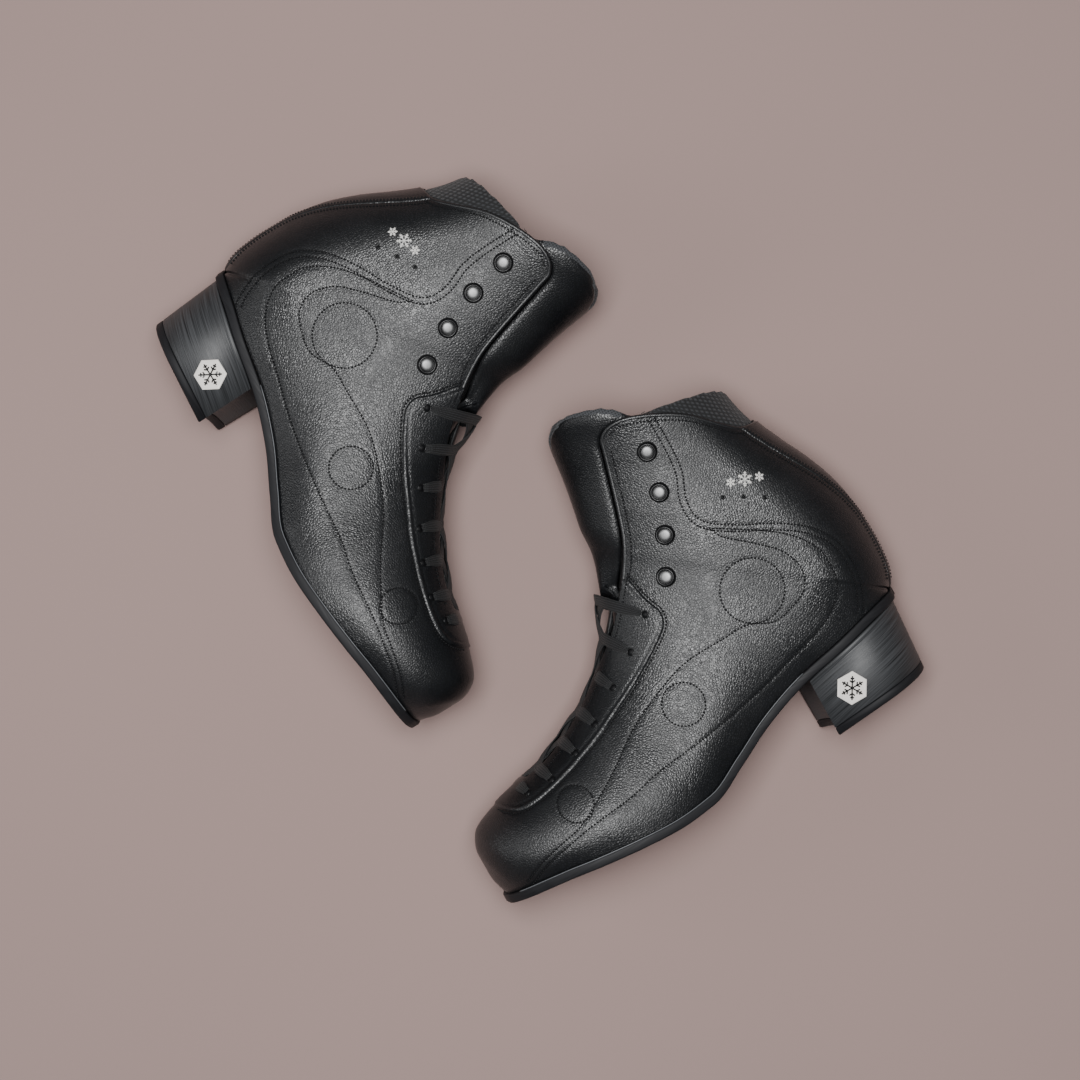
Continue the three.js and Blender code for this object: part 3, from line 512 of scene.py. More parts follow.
def stitches(line, side, height=0.0):
    """A row of stitches along a side view line."""
    u, w = locate(even(np.asarray(line, float), 1.2), side)
    track = even(np.hstack([raised(u, w, np.full(len(u), height)), outward(u, w)]), STITCH["pitch"])
    start, normal = track[:, :3], track[:, 3:]
    run = np.gradient(start, axis=0)
    run /= np.linalg.norm(run, axis=1, keepdims=True)
    normal -= run * (normal * run).sum(1, keepdims=True)
    normal /= np.linalg.norm(normal, axis=1, keepdims=True)
    across = np.cross(run, normal)
    length, radius = STITCH["length"], STITCH["radius"]
    sides = 6
    a = np.linspace(0, 2 * math.pi, sides, endpoint=False)
    points = []
    for share, lift, size in STITCH_RINGS:
        centre = start + run * (share - 0.5) * length + normal * lift
        offset = np.cos(a)[None, :, None] * across[:, None] + np.sin(a)[None, :, None] * normal[:, None]
        points.append(centre[:, None] + offset * radius * size)
    grid = np.stack(points, 1)
    one = bands(len(STITCH_RINGS) - 1, sides)
    last = (len(STITCH_RINGS) - 1) * sides
    one += [tuple(range(sides - 1, -1, -1)), tuple(range(last, last + sides))]
    faces = [tuple(i + (last + sides) * k for i in face) for k in range(len(start)) for face in one]
    return grid.reshape(-1, 3), turned_over(faces)


# ------------------------------------------------------------------ materials
def material(name, build, **values):
    made = bpy.data.materials.new(name)
    made.use_nodes = True
    shader = made.node_tree.nodes["Principled BSDF"]
    for socket, value in values.items():
        shader.inputs[socket.replace("_", " ")].default_value = value
    build(made.node_tree, shader)
    return made


def node(tree, kind, inputs=None, **settings):
    made = tree.nodes.new(f"ShaderNode{kind}")
    for key, value in settings.items():
        setattr(made, key, value)
    for key, value in (inputs or {}).items():
        if isinstance(value, bpy.types.NodeSocket):
            tree.links.new(value, made.inputs[key])
        else:
            made.inputs[key].default_value = value
    return made


def coordinates(tree):
    return node(tree, "Attribute", attribute_name="boot").outputs["Vector"]


def mapped(tree, vector, scale, turn=0.0):
    inputs = {"Vector": vector, "Scale": scale, "Rotation": (0, turn, 0)}
    return node(tree, "Mapping", inputs).outputs["Vector"]


def noise(tree, where, scale, detail, output="Fac"):
    inputs = {"Vector": where, "Scale": scale, "Detail": float(detail)}
    return node(tree, "TexNoise", inputs).outputs[output]


def wave(tree, where, distortion, direction):
    inputs = {"Vector": where, "Scale": 1.0, "Distortion": distortion}
    return node(tree, "TexWave", inputs, bands_direction=direction).outputs["Fac"]


def maths(tree, operation, *values):
    return node(tree, "Math", dict(enumerate(values)), operation=operation).outputs["Value"]


def ramp(tree, value, low, high, start=0.0, end=1.0):
    inputs = {"Value": value, "From Min": start, "From Max": end, "To Min": low, "To Max": high}
    return node(tree, "MapRange", inputs).outputs["Result"]


def coloured(tree, shader, factor, first, second):
    made = node(tree, "Mix", data_type="RGBA")
    tree.links.new(factor, made.inputs["Factor"])
    made.inputs["A"].default_value = (*first, 1)
    made.inputs["B"].default_value = (*second, 1)
    tree.links.new(made.outputs["Result"], shader.inputs["Base Color"])


def bumped(tree, shader, height, strength, distance):
    bump = node(tree, "Bump", {"Height": height, "Strength": strength, "Distance": distance})
    tree.links.new(bump.outputs["Normal"], shader.inputs["Normal"])


def leather_nodes(grain, strength, roughness):
    """Pebbled grain with fine creases, and a finish that is duller in patches."""

    def build(tree, shader):
        where = coordinates(tree)
        wander = noise(tree, where, 0.9, 3, "Color")
        inputs = {0: wander, 1: (0.45, 0.45, 0.45)}
        offset = node(tree, "VectorMath", inputs, operation="MULTIPLY").outputs["Vector"]
        bent = node(tree, "VectorMath", {0: where, 1: offset}, operation="ADD").outputs["Vector"]
        cells = node(tree, "TexVoronoi", {"Vector": bent, "Scale": grain}, feature="DISTANCE_TO_EDGE")
        pebbles = ramp(tree, cells.outputs["Distance"], 0.0, 1.0, 0.0, 0.32)
        height = maths(tree, "MULTIPLY_ADD", noise(tree, where, 2.6, 4), 0.3, pebbles)
        bumped(tree, shader, height, strength, 0.00013)
        patches = noise(tree, where, 0.035, 3)
        worn = ramp(tree, patches, roughness - 0.06, roughness + 0.08, 0.3, 0.7)
        tree.links.new(maths(tree, "MULTIPLY_ADD", pebbles, -0.06, worn), shader.inputs["Roughness"])
        coloured(tree, shader, pebbles, (0.002, 0.0022, 0.0026), (0.007, 0.0075, 0.009))

    return build


def thread_nodes(tree, shader):
    twist = noise(tree, coordinates(tree), 4.0, 2)
    bumped(tree, shader, twist, 0.5, 0.0001)
    coloured(tree, shader, twist, (0.0015, 0.0015, 0.002), (0.006, 0.006, 0.007))


def knit_nodes(tree, shader):
    """Rows of small slanting knots, with the knots painted lighter and the gaps between them darker as
    painted shade.
    """
    where = coordinates(tree)
    rows = wave(tree, mapped(tree, where, (0.14, 0.14, 0.14)), 0.6, "X")
    knots = wave(tree, mapped(tree, where, (0.16, 0.16, 0.16), 0.62), 0.8, "Z")
    height = maths(tree, "MULTIPLY", rows, knots)
    fuzz = noise(tree, where, 5.0, 3)
    bumped(tree, shader, maths(tree, "MULTIPLY_ADD", fuzz, 0.3, height), 0.9, 0.0006)
    # Painted shade: the gaps between the knots darker, the knots lighter.
    coloured(tree, shader, height, (0.002, 0.002, 0.0025), (0.03, 0.032, 0.036))


def weave_nodes(pitch, low, high):
    def build(tree, shader):
        where = mapped(tree, coordinates(tree), (pitch, pitch, pitch))
        cloth = maths(tree, "MAXIMUM", wave(tree, where, 0.4, "X"), wave(tree, where, 0.4, "Z"))
        bumped(tree, shader, cloth, 0.6, 0.0003)
        # Painted shade: the raised threads lighter, the gaps between them darker.
        coloured(tree, shader, cloth, low, high)

    return build


def lace_nodes(tree, shader):
    """Lengthwise ribs, from the strip's UV, and small cross threads; the ribs' tops are painted lighter and
    the grooves darker, as painted shade.
    """
    uv = node(tree, "UVMap", uv_map="UVMap").outputs["UV"]
    parts = node(tree, "SeparateXYZ", {"Vector": uv})
    ribs = maths(tree, "COSINE", maths(tree, "MULTIPLY", parts.outputs["X"], 31.4))
    threads = maths(tree, "SINE", maths(tree, "MULTIPLY", parts.outputs["Y"], 7.5))
    height = maths(tree, "MULTIPLY_ADD", threads, 0.25, ribs)
    bumped(tree, shader, height, 0.8, 0.00025)
    light = ramp(tree, height, 0.0, 1.0, -1.0, 1.2)
    # Painted shade: the grooves darker, the raised ribs lighter.
    coloured(tree, shader, light, (0.002, 0.002, 0.002), (0.016, 0.0165, 0.018))


def heel_nodes(tree, shader):
    """Burnished edge of stacked layers: fine streaks along the heel."""
    level = mapped(tree, coordinates(tree), (1, 1, 1), -0.2)
    streaks = noise(tree, mapped(tree, level, (0.03, 0.03, 2.2)), 1.0, 6)
    layers = noise(tree, mapped(tree, level, (0.01, 0.01, 0.45)), 1.0, 2)
    bumped(tree, shader, maths(tree, "MULTIPLY_ADD", layers, 0.6, streaks), 0.5, 0.0003)
    tree.links.new(ramp(tree, streaks, 0.4, 0.6, 0.3, 0.7), shader.inputs["Roughness"])
    light = ramp(tree, streaks, 0.0, 1.0, 0.3, 0.7)
    coloured(tree, shader, light, (0.008, 0.0085, 0.009), (0.05, 0.052, 0.056))


def sole_nodes(tree, shader):
    scuffs = noise(tree, mapped(tree, coordinates(tree), (0.05, 0.3, 1.2)), 1.0, 5)
    bumped(tree, shader, scuffs, 0.25, 0.0002)
    tree.links.new(ramp(tree, scuffs, 0.48, 0.66, 0.3, 0.7), shader.inputs["Roughness"])
    coloured(tree, shader, scuffs, (0.006, 0.006, 0.007), (0.016, 0.016, 0.018))


def speckle_nodes(low, high, scale, strength=0.2):
    def build(tree, shader):
        grain = noise(tree, coordinates(tree), scale, 4)
        bumped(tree, shader, grain, strength, 0.0001)
        coloured(tree, shader, grain, low, high)

    return build


def speckled(name, low, high, scale, strength=0.2, **values):
    return material(name, speckle_nodes(low, high, scale, strength), **values)


LEATHER_MAT = material("grained_leather", leather_nodes(0.8, 0.7, 0.41), Specular_IOR_Level=0.58)
EDGE_MAT = material("leather_edge", leather_nodes(1.6, 0.35, 0.42), Specular_IOR_Level=0.7)
THREAD_MAT = material("black_thread", thread_nodes, Roughness=0.6, Specular_IOR_Level=0.2)
KNIT_MAT = material("black_knit", knit_nodes, Roughness=0.8, Sheen_Weight=0.08, Sheen_Roughness=0.5)
felt = weave_nodes(0.24, (0.004, 0.004, 0.004), (0.045, 0.047, 0.052))
FELT_MAT = material("felt_edge", felt, Roughness=0.85, Sheen_Weight=0.08)
lining_weave = weave_nodes(0.26, (0.004, 0.004, 0.0045), (0.018, 0.019, 0.021))
LINING_MAT = material("woven_lining", lining_weave, Roughness=0.88, Sheen_Weight=0.06)
LACE_MAT = material("flat_lace", lace_nodes, Roughness=0.62, Sheen_Weight=0.03)
HEEL_MAT = material("burnished_heel", heel_nodes, Specular_IOR_Level=0.5)
SOLE_MAT = material("sealed_sole", sole_nodes, Specular_IOR_Level=0.2)
# A real welt strand, coloured pale as a painted highlight along the sole's edge.
WELT_HIGHLIGHT_MAT = speckled("welt_painted_highlight", (0.05, 0.052, 0.056), (0.13, 0.135, 0.145), 1.5, Roughness=0.45)
RING_MAT = speckled(
    "black_enamel", (0.003, 0.003, 0.003), (0.007, 0.007, 0.008), 0.8, Roughness=0.32, Specular_IOR_Level=0.35
)
DOME_MAT = speckled(
    "nickel_dome", (0.14, 0.14, 0.145), (0.21, 0.21, 0.205), 0.9, 0.3, Metallic=1.0, Roughness=0.45
)
PLATE_MAT = speckled("pale_enamel", (0.72, 0.68, 0.63), (0.84, 0.8, 0.76), 0.5, Roughness=0.32)
SILVER_MAT = speckled("silver_thread", (0.5, 0.49, 0.46), (0.85, 0.83, 0.8), 4.0, 0.5, Roughness=0.4)
BOARD_MAT = speckled("fibre_board", (0.2, 0.14, 0.09), (0.34, 0.25, 0.16), 0.8, Roughness=0.8)
STEEL_MAT = speckled("sprung_steel", (0.45, 0.45, 0.46), (0.6, 0.6, 0.62), 0.6, Metallic=1.0, Roughness=0.35)
STIFF_MAT = speckled("moulded_stiffener", (0.02, 0.02, 0.02), (0.035, 0.035, 0.035), 0.6, Roughness=0.6)

for node_name, keep_material in {
    "heel_counter": STIFF_MAT,
    "toe_puff": STIFF_MAT,
    "insole_board": BOARD_MAT,
    "footbed": LINING_MAT,
    "shank": STEEL_MAT,
}.items():
    for side_name in SIDES:
        kept = frame["nodes"][f"{side_name}_{node_name}"]
        kept.data.materials.clear()
        kept.data.materials.append(keep_material)


# ------------------------------------------------------------------ the upper
def make_upper():
    params, triangles = parameter_grid(0, LAST_ROW - 0.5, 280, -math.pi, math.pi, 220)
    params, triangles = clip(params, triangles, inside(surface(*params.T)[:, [0, 2]], UPPER))
    dip = seam_dip(params, SEAMS)
    points, faces = shell(params, triangles, dip, -LEATHER)
    both("upper", points, faces, [LEATHER_MAT], ("vamp", "lateral_quarter", "medial_quarter"))


def make_overlays():
    params, triangles = parameter_grid(2.5, 12.8, 190, -2.2, 2.2, 260)
    xz = surface(*params.T)[:, [0, 2]]
    field = np.minimum(inside(xz, EYESTAY), inside(xz, UPPER) + 0.3)
    params, triangles = clip(params, triangles, field)
    xz = surface(*params.T)[:, [0, 2]]
    edge = distance_to(xz, eyestay_edge)
    roll = OVERLAY * np.sqrt(np.clip(edge / 1.1, 0, 1)) - 0.3 * np.exp(-(((edge - 2.4) / 0.8) ** 2))
    points, faces = shell(params, triangles, roll, -0.15)
    both("eyestay", points, faces, [LEATHER_MAT])

    params, triangles = parameter_grid(14.2, 22.4, 120, math.pi - 1.3, math.pi + 1.3, 90)
    params, triangles = clip(params, triangles, inside(surface(*params.T)[:, [0, 2]], BACKSTAY))
    edge = distance_to(surface(*params.T)[:, [0, 2]], backstay_edge)
    roll = 0.85 * np.sqrt(np.clip(edge / 1.0, 0, 1)) - 0.25 * np.exp(-(((edge - 2.2) / 0.8) ** 2))
    points, faces = shell(params, triangles, roll, -LEATHER)
    both("backstay_strip", points, faces, [LEATHER_MAT], ("backstay",))


def make_lining():
    params, triangles = parameter_grid(0.3, LAST_ROW - 0.8, 110, -math.pi, math.pi, 90)
    back = [(-30, 163.6), (-30, -20)]
    shape = np.vstack([TOE_REGION, facing - (1.2, 0.4), topline - (0.8, 1.0), back])
    params, triangles = clip(params, triangles, inside(surface(*params.T)[:, [0, 2]], shape))
    points, faces = shell(params, triangles, -LINING[0], -LINING[1])
    both("padded_lining", points, faces, [LINING_MAT], ("lining",))


def make_piping():
    """The rolled edge that runs up the facings and round the topline."""
    edge = np.vstack([facing[2:], topline[:-1]])
    sides = []
    for side in (LATERAL, MEDIAL):
        u, w = locate(even(edge, 2.0), side)
        sides.append(raised(u, w, np.full(len(u), -0.9)))
    throat = np.array([[227.0, 0.0, 59.6]])
    back = raised(np.array([22.0]), np.array([math.pi]), np.array([-0.9]))
    loop = even(np.vstack([throat, sides[0], back, sides[1][::-1], throat]), 1.6)[:-1]
    points, faces = tube(loop, 1.25, 10, closed=True)
    both("edge_piping", points, faces, [EDGE_MAT])


def make_seams():
    rows = []
    facing_row = parallel(facing, 3.4)[4:]
    top_row = parallel(topline, 2.6)[6:-6]
    eyestay_row = parallel(eyestay_edge, -1.3)[:-6]
    throat_row = parallel(facing, 2.4)[4:64]
    back_rows = [parallel(backstay_edge, offset)[2:-4] for offset in (1.6, -1.4)]
    for side in (LATERAL, MEDIAL):
        rows += [stitches(line, side, 0.0) for line in SEAMS]
        rows += [stitches(facing_row[60:], side, 0.1), stitches(top_row, side, 0.1)]
        rows += [stitches(line, side, OVERLAY - 0.1) for line in (eyestay_row, throat_row)]
        rows += [stitches(back_rows[0], side, 0.1), stitches(back_rows[1], side, 0.7)]
    points, faces = joined(rows)
    both("seam_thread", points, faces, [THREAD_MAT])


# ------------------------------------------------------------------ collar and tongue
def make_collar():
    """A padded band of knit, puffed up by a short cloth simulation."""
    params, triangles = parameter_grid(20.5, LAST_ROW, 60, math.pi - 2.4, math.pi + 2.4, 150)
    params, triangles = clip(params, triangles, inside(surface(*params.T)[:, [0, 2]], COLLAR))
    points, faces = shell(params, triangles, -COLLAR_DEPTH[0], -COLLAR_DEPTH[1])
    puffed = inflate(points * MM, faces, voxel=0.0022, cap=0.0016)
    points, faces = puffed[0] / MM, puffed[1]
    made = both("knit_collar", points, faces, [KNIT_MAT], ("collar",))
    for obj in made.values():
        finer = obj.modifiers.new("finer", "SUBSURF")
        finer.levels = finer.render_levels = 1


def inflate(points, faces, voxel, cap):
    """The mesh remeshed evenly and inflated as cloth, each point moving no more than cap."""
    body = add_mesh("inflating", points, faces, [])
    bpy.context.view_layer.objects.active = body
    body.select_set(True)
    even_out = body.modifiers.new("even", "REMESH")
    even_out.mode = "VOXEL"
    even_out.voxel_size = voxel
    bpy.ops.object.modifier_apply(modifier=even_out.name)
    before = np.array([v.co for v in body.data.vertices])
    cloth = body.modifiers.new("cloth", "CLOTH")
    cloth.settings.use_pressure = True
    cloth.settings.uniform_pressure_force = 4
    cloth.settings.effector_weights.gravity = 0
    for number in range(1, 15):
        bpy.context.scene.frame_set(number)
    bpy.ops.object.modifier_apply(modifier=cloth.name)
    bpy.context.scene.frame_set(1)
    after = np.array([v.co for v in body.data.vertices])
    move = after - before
    length = np.linalg.norm(move, axis=1, keepdims=True)
    move *= np.minimum(1, cap / np.maximum(length, 1e-9))
    out = before + move
    polygons = [tuple(p.vertices) for p in body.data.polygons]
    bpy.data.objects.remove(body)
    return out, polygons


def flap_half_width(u, depth):
    """The angle from the ridge at which a sheet at this depth meets the facing's edge."""
    guard = np.vstack([facing, FLAP_SIDE]) + (1.1, 0.5)
    region = np.vstack([guard, [(-40, 240), (-40, -40), (222, 10)]])
    low, high = np.zeros_like(u), np.full_like(u, 2.2)
    for _ in range(18):
        middle = (low + high) / 2
        ahead = inside(raised(u, middle, -depth)[:, [0, 2]], region) < 0
        low, high = np.where(ahead, middle, low), np.where(ahead, high, middle)
    return low


def under_at(u, fold):
    """One where the tongue lies under the laces, falling to nothing above the hinge."""
    t = np.clip((fold + 5.5 - u) / 5.5, 0, 1)
    return t * t * (3 - 2 * t)


def make_tongue():
    """One padded sheet from the throat, under the laces, up to the flap; it rises nearer the surface past the
    hinge.
    """
    start, fold, recess = TONGUE["start"], TONGUE["fold"], TONGUE["recess"]
    rows, columns = 90, 36
    v = np.linspace(-1, 1, columns + 1)
    along = np.linspace(start, LAST_ROW, 240)
    rise = np.clip((along - fold) / 5.0, 0, 1)
    depth_at = recess - (recess - TONGUE["flap_depth"]) * rise * rise * (3 - 2 * rise)
    free = flap_half_width(along, depth_at + 2.5)
    under = np.clip((fold + 0.4 - along) / 0.6, 0, 1)
    tucked = 0.5 + 0.42 * (along - start) / (fold - start)
    reach_at = free * (1 - under) + tucked * under
    ends = []
    for share in v:
        x, z = surface(along, reach_at * share)[:, [0, 2]].T
        over = z > np.interp(x, *np.array(TONGUE_TOP).T) - 1.0
        over &= along > 16
        first = int(over.argmax()) if over.any() else len(along) - 1
        ends.append(along[first])
    t = np.linspace(0, 1, rows + 1)[:, None]
    u = start + (np.array(ends)[None] - start) * t
    depth, reach = np.interp(u, along, depth_at), np.interp(u, along, reach_at)
    w = reach * v[None]
    opening = np.interp(u, along, free)
    bulge = under_at(u, fold) * np.clip(1 - (w / (0.85 * opening)) ** 2, 0, 1)
    depth = depth - (depth - TONGUE["laced_depth"]) * bulge
    crown = np.sqrt(np.clip(1 - v**2, 0, 1))[None] ** 0.7
    tip = np.sqrt(np.clip((1 - t) / 0.03, 0, 1))
    hem = TONGUE["hem"] * (1 - crown * tip)
    outer = raised(u, w, -(depth + hem))
    inner = raised(u, w, -(depth + TONGUE["thickness"] - 12 / 11 * hem))
    index = np.arange(u.size).reshape(u.shape)
    faces = []
    for i in range(rows):
        for j in range(columns):
            a, b, c, d = index[i, j], index[i + 1, j], index[i + 1, j + 1], index[i, j + 1]
            faces += [(a, b, c, d), (d + u.size, c + u.size, b + u.size, a + u.size)]
    edge = [*index[:, 0], *index[-1, 1:], *index[::-1, -1][1:], *index[0, ::-1][1:-1]]
    for a, b in zip(edge, edge[1:] + edge[:1]):
        faces.append((b, a, a + u.size, b + u.size))
    points = np.vstack([outer.reshape(-1, 3), inner.reshape(-1, 3)])
    band = (np.linalg.norm(outer - outer[-1:], axis=-1) < TONGUE["felt"]).ravel()
    felt = np.concatenate([band, band])
    slots = [int(all(felt[i] for i in face)) for face in faces]
    stands_for = ("tongue_base", "tongue_flap")
    looks = [LEATHER_MAT, FELT_MAT]
    tongue = both("tongue", points, faces, looks, stands_for, body=None, slots=slots)
    ridge = raised(np.array([fold - 0.5, fold + 1.2]), np.zeros(2), np.array([-9.0, -7.0]))
    for side_name, obj in tongue.items():
        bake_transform(obj)


# ------------------------------------------------------------------ laces, eyelets and studs
def lace_strip(start, end, side, high):
    """A flat length of lace from one eyelet to one on the other side, its ends sinking into the holes."""
    (u0,), (w0,) = locate([start], side)
    (u1,), (w1,) = locate([end], -side)
    t = np.linspace(0, 1, 33)
    straight = abs(u1 - u0) < 0.05
    cross = np.clip((t - 0.3) / 0.4, 0, 1)
    u = u0 + (u1 - u0) * (t if straight else cross * cross * (3 - 2 * cross))
    w = w0 + (w1 - w0) * t
    near = np.minimum(t, 1 - t)
    bell = np.sqrt(np.clip(near / 0.06, 0, 1))
    sunk = np.clip((near - 0.16) / 0.26, 0, 1)
    middle = np.exp(-(((t - 0.5) / 0.17) ** 2))
    lift = -1.0 + (LACE["lift"] + OVERLAY) * bell + high * middle
    lift -= LACE["sunk"] * sunk * sunk * (3 - 2 * sunk)
    centre, normal = raised(u, w, lift), outward(u, w)
    run = np.gradient(centre, axis=0)
    run /= np.linalg.norm(run, axis=1, keepdims=True)
    across = np.cross(run, normal)
    across /= np.linalg.norm(across, axis=1, keepdims=True)
    normal = np.cross(across, run)
    pinch = 0.55 + 0.45 * np.clip(np.minimum(t, 1 - t) / 0.14, 0, 1)
    sides = 16
    a = np.linspace(0, 2 * math.pi, sides, endpoint=False)
    flat_x = np.sign(np.cos(a)) * np.abs(np.cos(a)) ** 0.7 * LACE["width"] / 2
    flat_y = np.sign(np.sin(a)) * np.abs(np.sin(a)) ** 0.7 * LACE["thickness"] / 2
    section = flat_x[None, :, None] * across[:, None] * pinch[:, None, None]
    section = section + flat_y[None, :, None] * normal[:, None]
    points = (centre[:, None] + section).reshape(-1, 3)
    length = np.concatenate([[0], np.cumsum(np.linalg.norm(np.diff(centre, axis=0), axis=1))])
    share = flat_x / LACE["width"] + 0.5
    uv = np.stack(np.broadcast_arrays(share[None], length[:, None]), -1).reshape(-1, 2)
    last = (len(t) - 1) * sides
    faces = bands(len(t) - 1, sides)
    faces += [tuple(range(sides - 1, -1, -1)), tuple(range(last, last + sides))]
    faces = turned_over(faces)
    return points, faces, uv


def make_laces():
    strips = []
    for i, (low, high) in enumerate(zip(EYELETS, EYELETS[1:])):
        strips.append(lace_strip(low, high, LATERAL, 1.6 if i % 2 else 0.3))
        strips.append(lace_strip(low, high, MEDIAL, 0.3 if i % 2 else 1.6))
    strips.append(lace_strip(EYELETS[0], EYELETS[0], LATERAL, -0.6))
    strips.append(lace_strip(EYELETS[-1], EYELETS[-1], LATERAL, 0.9))
    points, faces = joined([(p, f) for p, f, _ in strips])
    uv = np.vstack([strip[2] for strip in strips])
    both("flat_laces", points, faces, [LACE_MAT], ("laces",), uv=uv)


def turned_part(profile, sides=28):
    """A part turned about +z, from (radius, height) points that start and end on the axis."""
    a = np.linspace(0, 2 * math.pi, sides, endpoint=False)
    points = [(0, 0, profile[0][1])]
    for r, h in profile[1:-1]:
        points += [(r * math.cos(t), r * math.sin(t), h) for t in a]
    points.append((0, 0, profile[-1][1]))
    last, rows = len(points) - 1, len(profile) - 2
    around = [(j, (j + 1) % sides) for j in range(sides)]
    faces = [(0, 1 + k, 1 + j) for j, k in around]
    faces += bands(rows - 1, sides, 1)
    rim = 1 + (rows - 1) * sides
    faces += [(rim + j, rim + k, last) for j, k in around]
    return np.array(points, float), faces


def seated(points, where, side, height=0.0):
    """Points of a small part standing on +z, seated on the surface at a side view place."""
    (u,), (w,) = locate([where], side)
    normal = outward(u, w)
    across = np.cross(normal, [0.0, 0.0, 1.0])
    across /= np.linalg.norm(across)
    upward = np.cross(normal, across)
    basis = np.stack([-across, -upward, normal])
    return points @ basis + surface(u, w) + normal * height


def make_studs():
    """Black rings with a nickel disc set in each."""
    sides = 32
    cap = [(0, 0), (5.45, 0), (5.45, 0.7), (5.25, 1.6), (4.9, 2.5), (4.45, 3.0), (4.05, 3.05), (3.7, 2.7)]
    cap.append((3.45, 2.1))
    disc = [(3.3, 2.05), (3.2, 2.3), (2.8, 2.55), (1.6, 2.7), (0, 2.75)]
    points, faces = turned_part(cap + disc, sides)
    slots = [int(min(face) > (len(cap) - 1) * sides) for face in faces]
    looks = [RING_MAT, DOME_MAT]
    for label, side in (("lateral", LATERAL), ("medial", MEDIAL)):
        for number, where in enumerate(STUDS, 1):
            name = f"{label}_stud_{number}"
            at = seated(points, where, side, 0.2)
            both(f"{name}_cap", at, faces, looks, (name,), slots=slots)


def make_eyelets():
    a = np.linspace(0, 2 * math.pi, 24, endpoint=False)
    rim = np.stack([1.9 * np.cos(a), 1.9 * np.sin(a), np.zeros(24)], -1)
    small = rim * 0.55
    rims, holes = [], []
    # Dark discs in the eyelets and vents: painted shade where the holes are.
    disc, disc_faces = turned_part([(0, -0.3), (1.75, -0.3), (1.75, 0.05), (0, 0.05)], 24)
    for side in (LATERAL, MEDIAL):
        for where in EYELETS:
            rims.append(tube(seated(rim, where, side, OVERLAY), 0.35, 6, closed=True))
            holes.append((seated(disc, where, side, OVERLAY), disc_faces))
        for where in VENTS:
            rims.append(tube(seated(small, where, side, 0.1), 0.32, 6, closed=True))
            holes.append((seated(disc * 0.5, where, side, 0.05), disc_faces))
    points, faces = joined(rims)
    both("eyelet_rims", points, faces, [RING_MAT])
    # The dark discs, painted shade in the holes.
    points, faces = joined(holes)
    both("eyelet_hole_shade", points, faces, [THREAD_MAT])


def snowflake(radius, branch=0.36):
    """The strokes of a six-armed flake, each as two points."""
    strokes = []
    for k in range(6):
        a = math.pi / 3 * k
        tip = np.array([math.cos(a), math.sin(a), 0]) * radius
        strokes.append((np.zeros(3), tip))
        for share in (0.45, 0.72):
            for sign in (1, -1):
                b = a + sign * math.pi / 3.4
                reach = radius * branch * (1.25 - share)
                strokes.append((tip * share, tip * share + np.array([math.cos(b), math.sin(b), 0]) * reach))
    return strokes


def make_motifs():
    """A small embroidered flake over the vents, with two smaller flakes beside it."""
    parts = []
    for size, shift in ((4.2, (0, 0)), (2.6, (7.4, 2.2)), (2.6, (-7.4, -2.6))):
        for start, end in snowflake(size):
            line = np.linspace(start, end, 5)
            where = (MOTIF_CENTRE[0] + shift[0], MOTIF_CENTRE[1] + shift[1])
            parts.append(tube(seated(line, where, LATERAL, 0.15), 0.27, 6))
    points, faces = joined(parts)
    both("stitched_motif", points, faces, [SILVER_MAT])


# ------------------------------------------------------------------ sole and heel
def feather_height(x):
    u = np.linspace(0, HEEL_CORNER_ROW, 301)
    return np.interp(x, station["bx"](u)[::-1], station["bz"](u)[::-1])


def footprint(depth, count=150):
    """The lateral and medial edges of the footprint, moved in by depth."""
    u = HEEL_CORNER_ROW * (1 - np.cos(np.linspace(0, math.pi, count + 1))) / 2
    edges = []
    for key, side in (("yl", 1), ("ym", -1)):
        low, high = np.maximum(0, u - 0.04), np.minimum(HEEL_CORNER_ROW, u + 0.04)
        run_x = station["bx"](high) - station["bx"](low)
        run_y = side * (station[key](high) - station[key](low))
        length = np.hypot(run_x, run_y)
        nx, ny = -run_y / length * -side, run_x / length * -side
        nx[0], ny[0], nx[-1], ny[-1] = 1, 0, -1, 0
        edges.append(np.stack([station["bx"](u) - nx * depth, side * station[key](u) - ny * depth], -1))
    return edges


def make_outsole():
    top, bottom = -OUTSOLE["gap"], -OUTSOLE["gap"] - OUTSOLE["thickness"]
    levels = [(top, 0.5), (top - 0.15, 0.15), (top - 0.6, 0.0)]
    levels += [(bottom + 0.9, 0.0), (bottom + 0.25, 0.3), (bottom, 0.9)]
    rings = []
    for height, pull in levels:
        lateral, medial = footprint(pull - OUTSOLE["overhang"])
        loop = np.vstack([lateral, medial[-2:0:-1]])
        rings.append(np.column_stack([loop, feather_height(loop[:, 0]) + height]))
    count = len(rings[0])
    half = count // 2
    faces = turned_over(bands(len(rings) - 1, count))
    base = (len(rings) - 1) * count
    for i in range(half):
        a, b = i, i + 1
        c, d = (count - i - 1) % count, (count - i) % count
        faces.append((a, b, c, d) if a != d else (a, b, c))
        faces.append((base + d, base + c, base + b, base + a) if a != d else (base + c, base + b, base + a))
    both("leather_outsole", np.vstack(rings), faces, [SOLE_MAT], ("outsole",))
    # The welt strand from shank to toe, coloured pale: a painted highlight along the sole's edge.
    welt = []
    for edge in footprint(-OUTSOLE["overhang"] + 0.45):
        line = edge[(edge[:, 0] > 66) & (edge[:, 0] < 256)]
        welt.append(tube(np.column_stack([line, feather_height(line[:, 0]) + top + 0.12]), 0.34, 6))
    points, faces = joined(welt)
    both("welt_highlight_line", points, faces, [WELT_HIGHLIGHT_MAT])


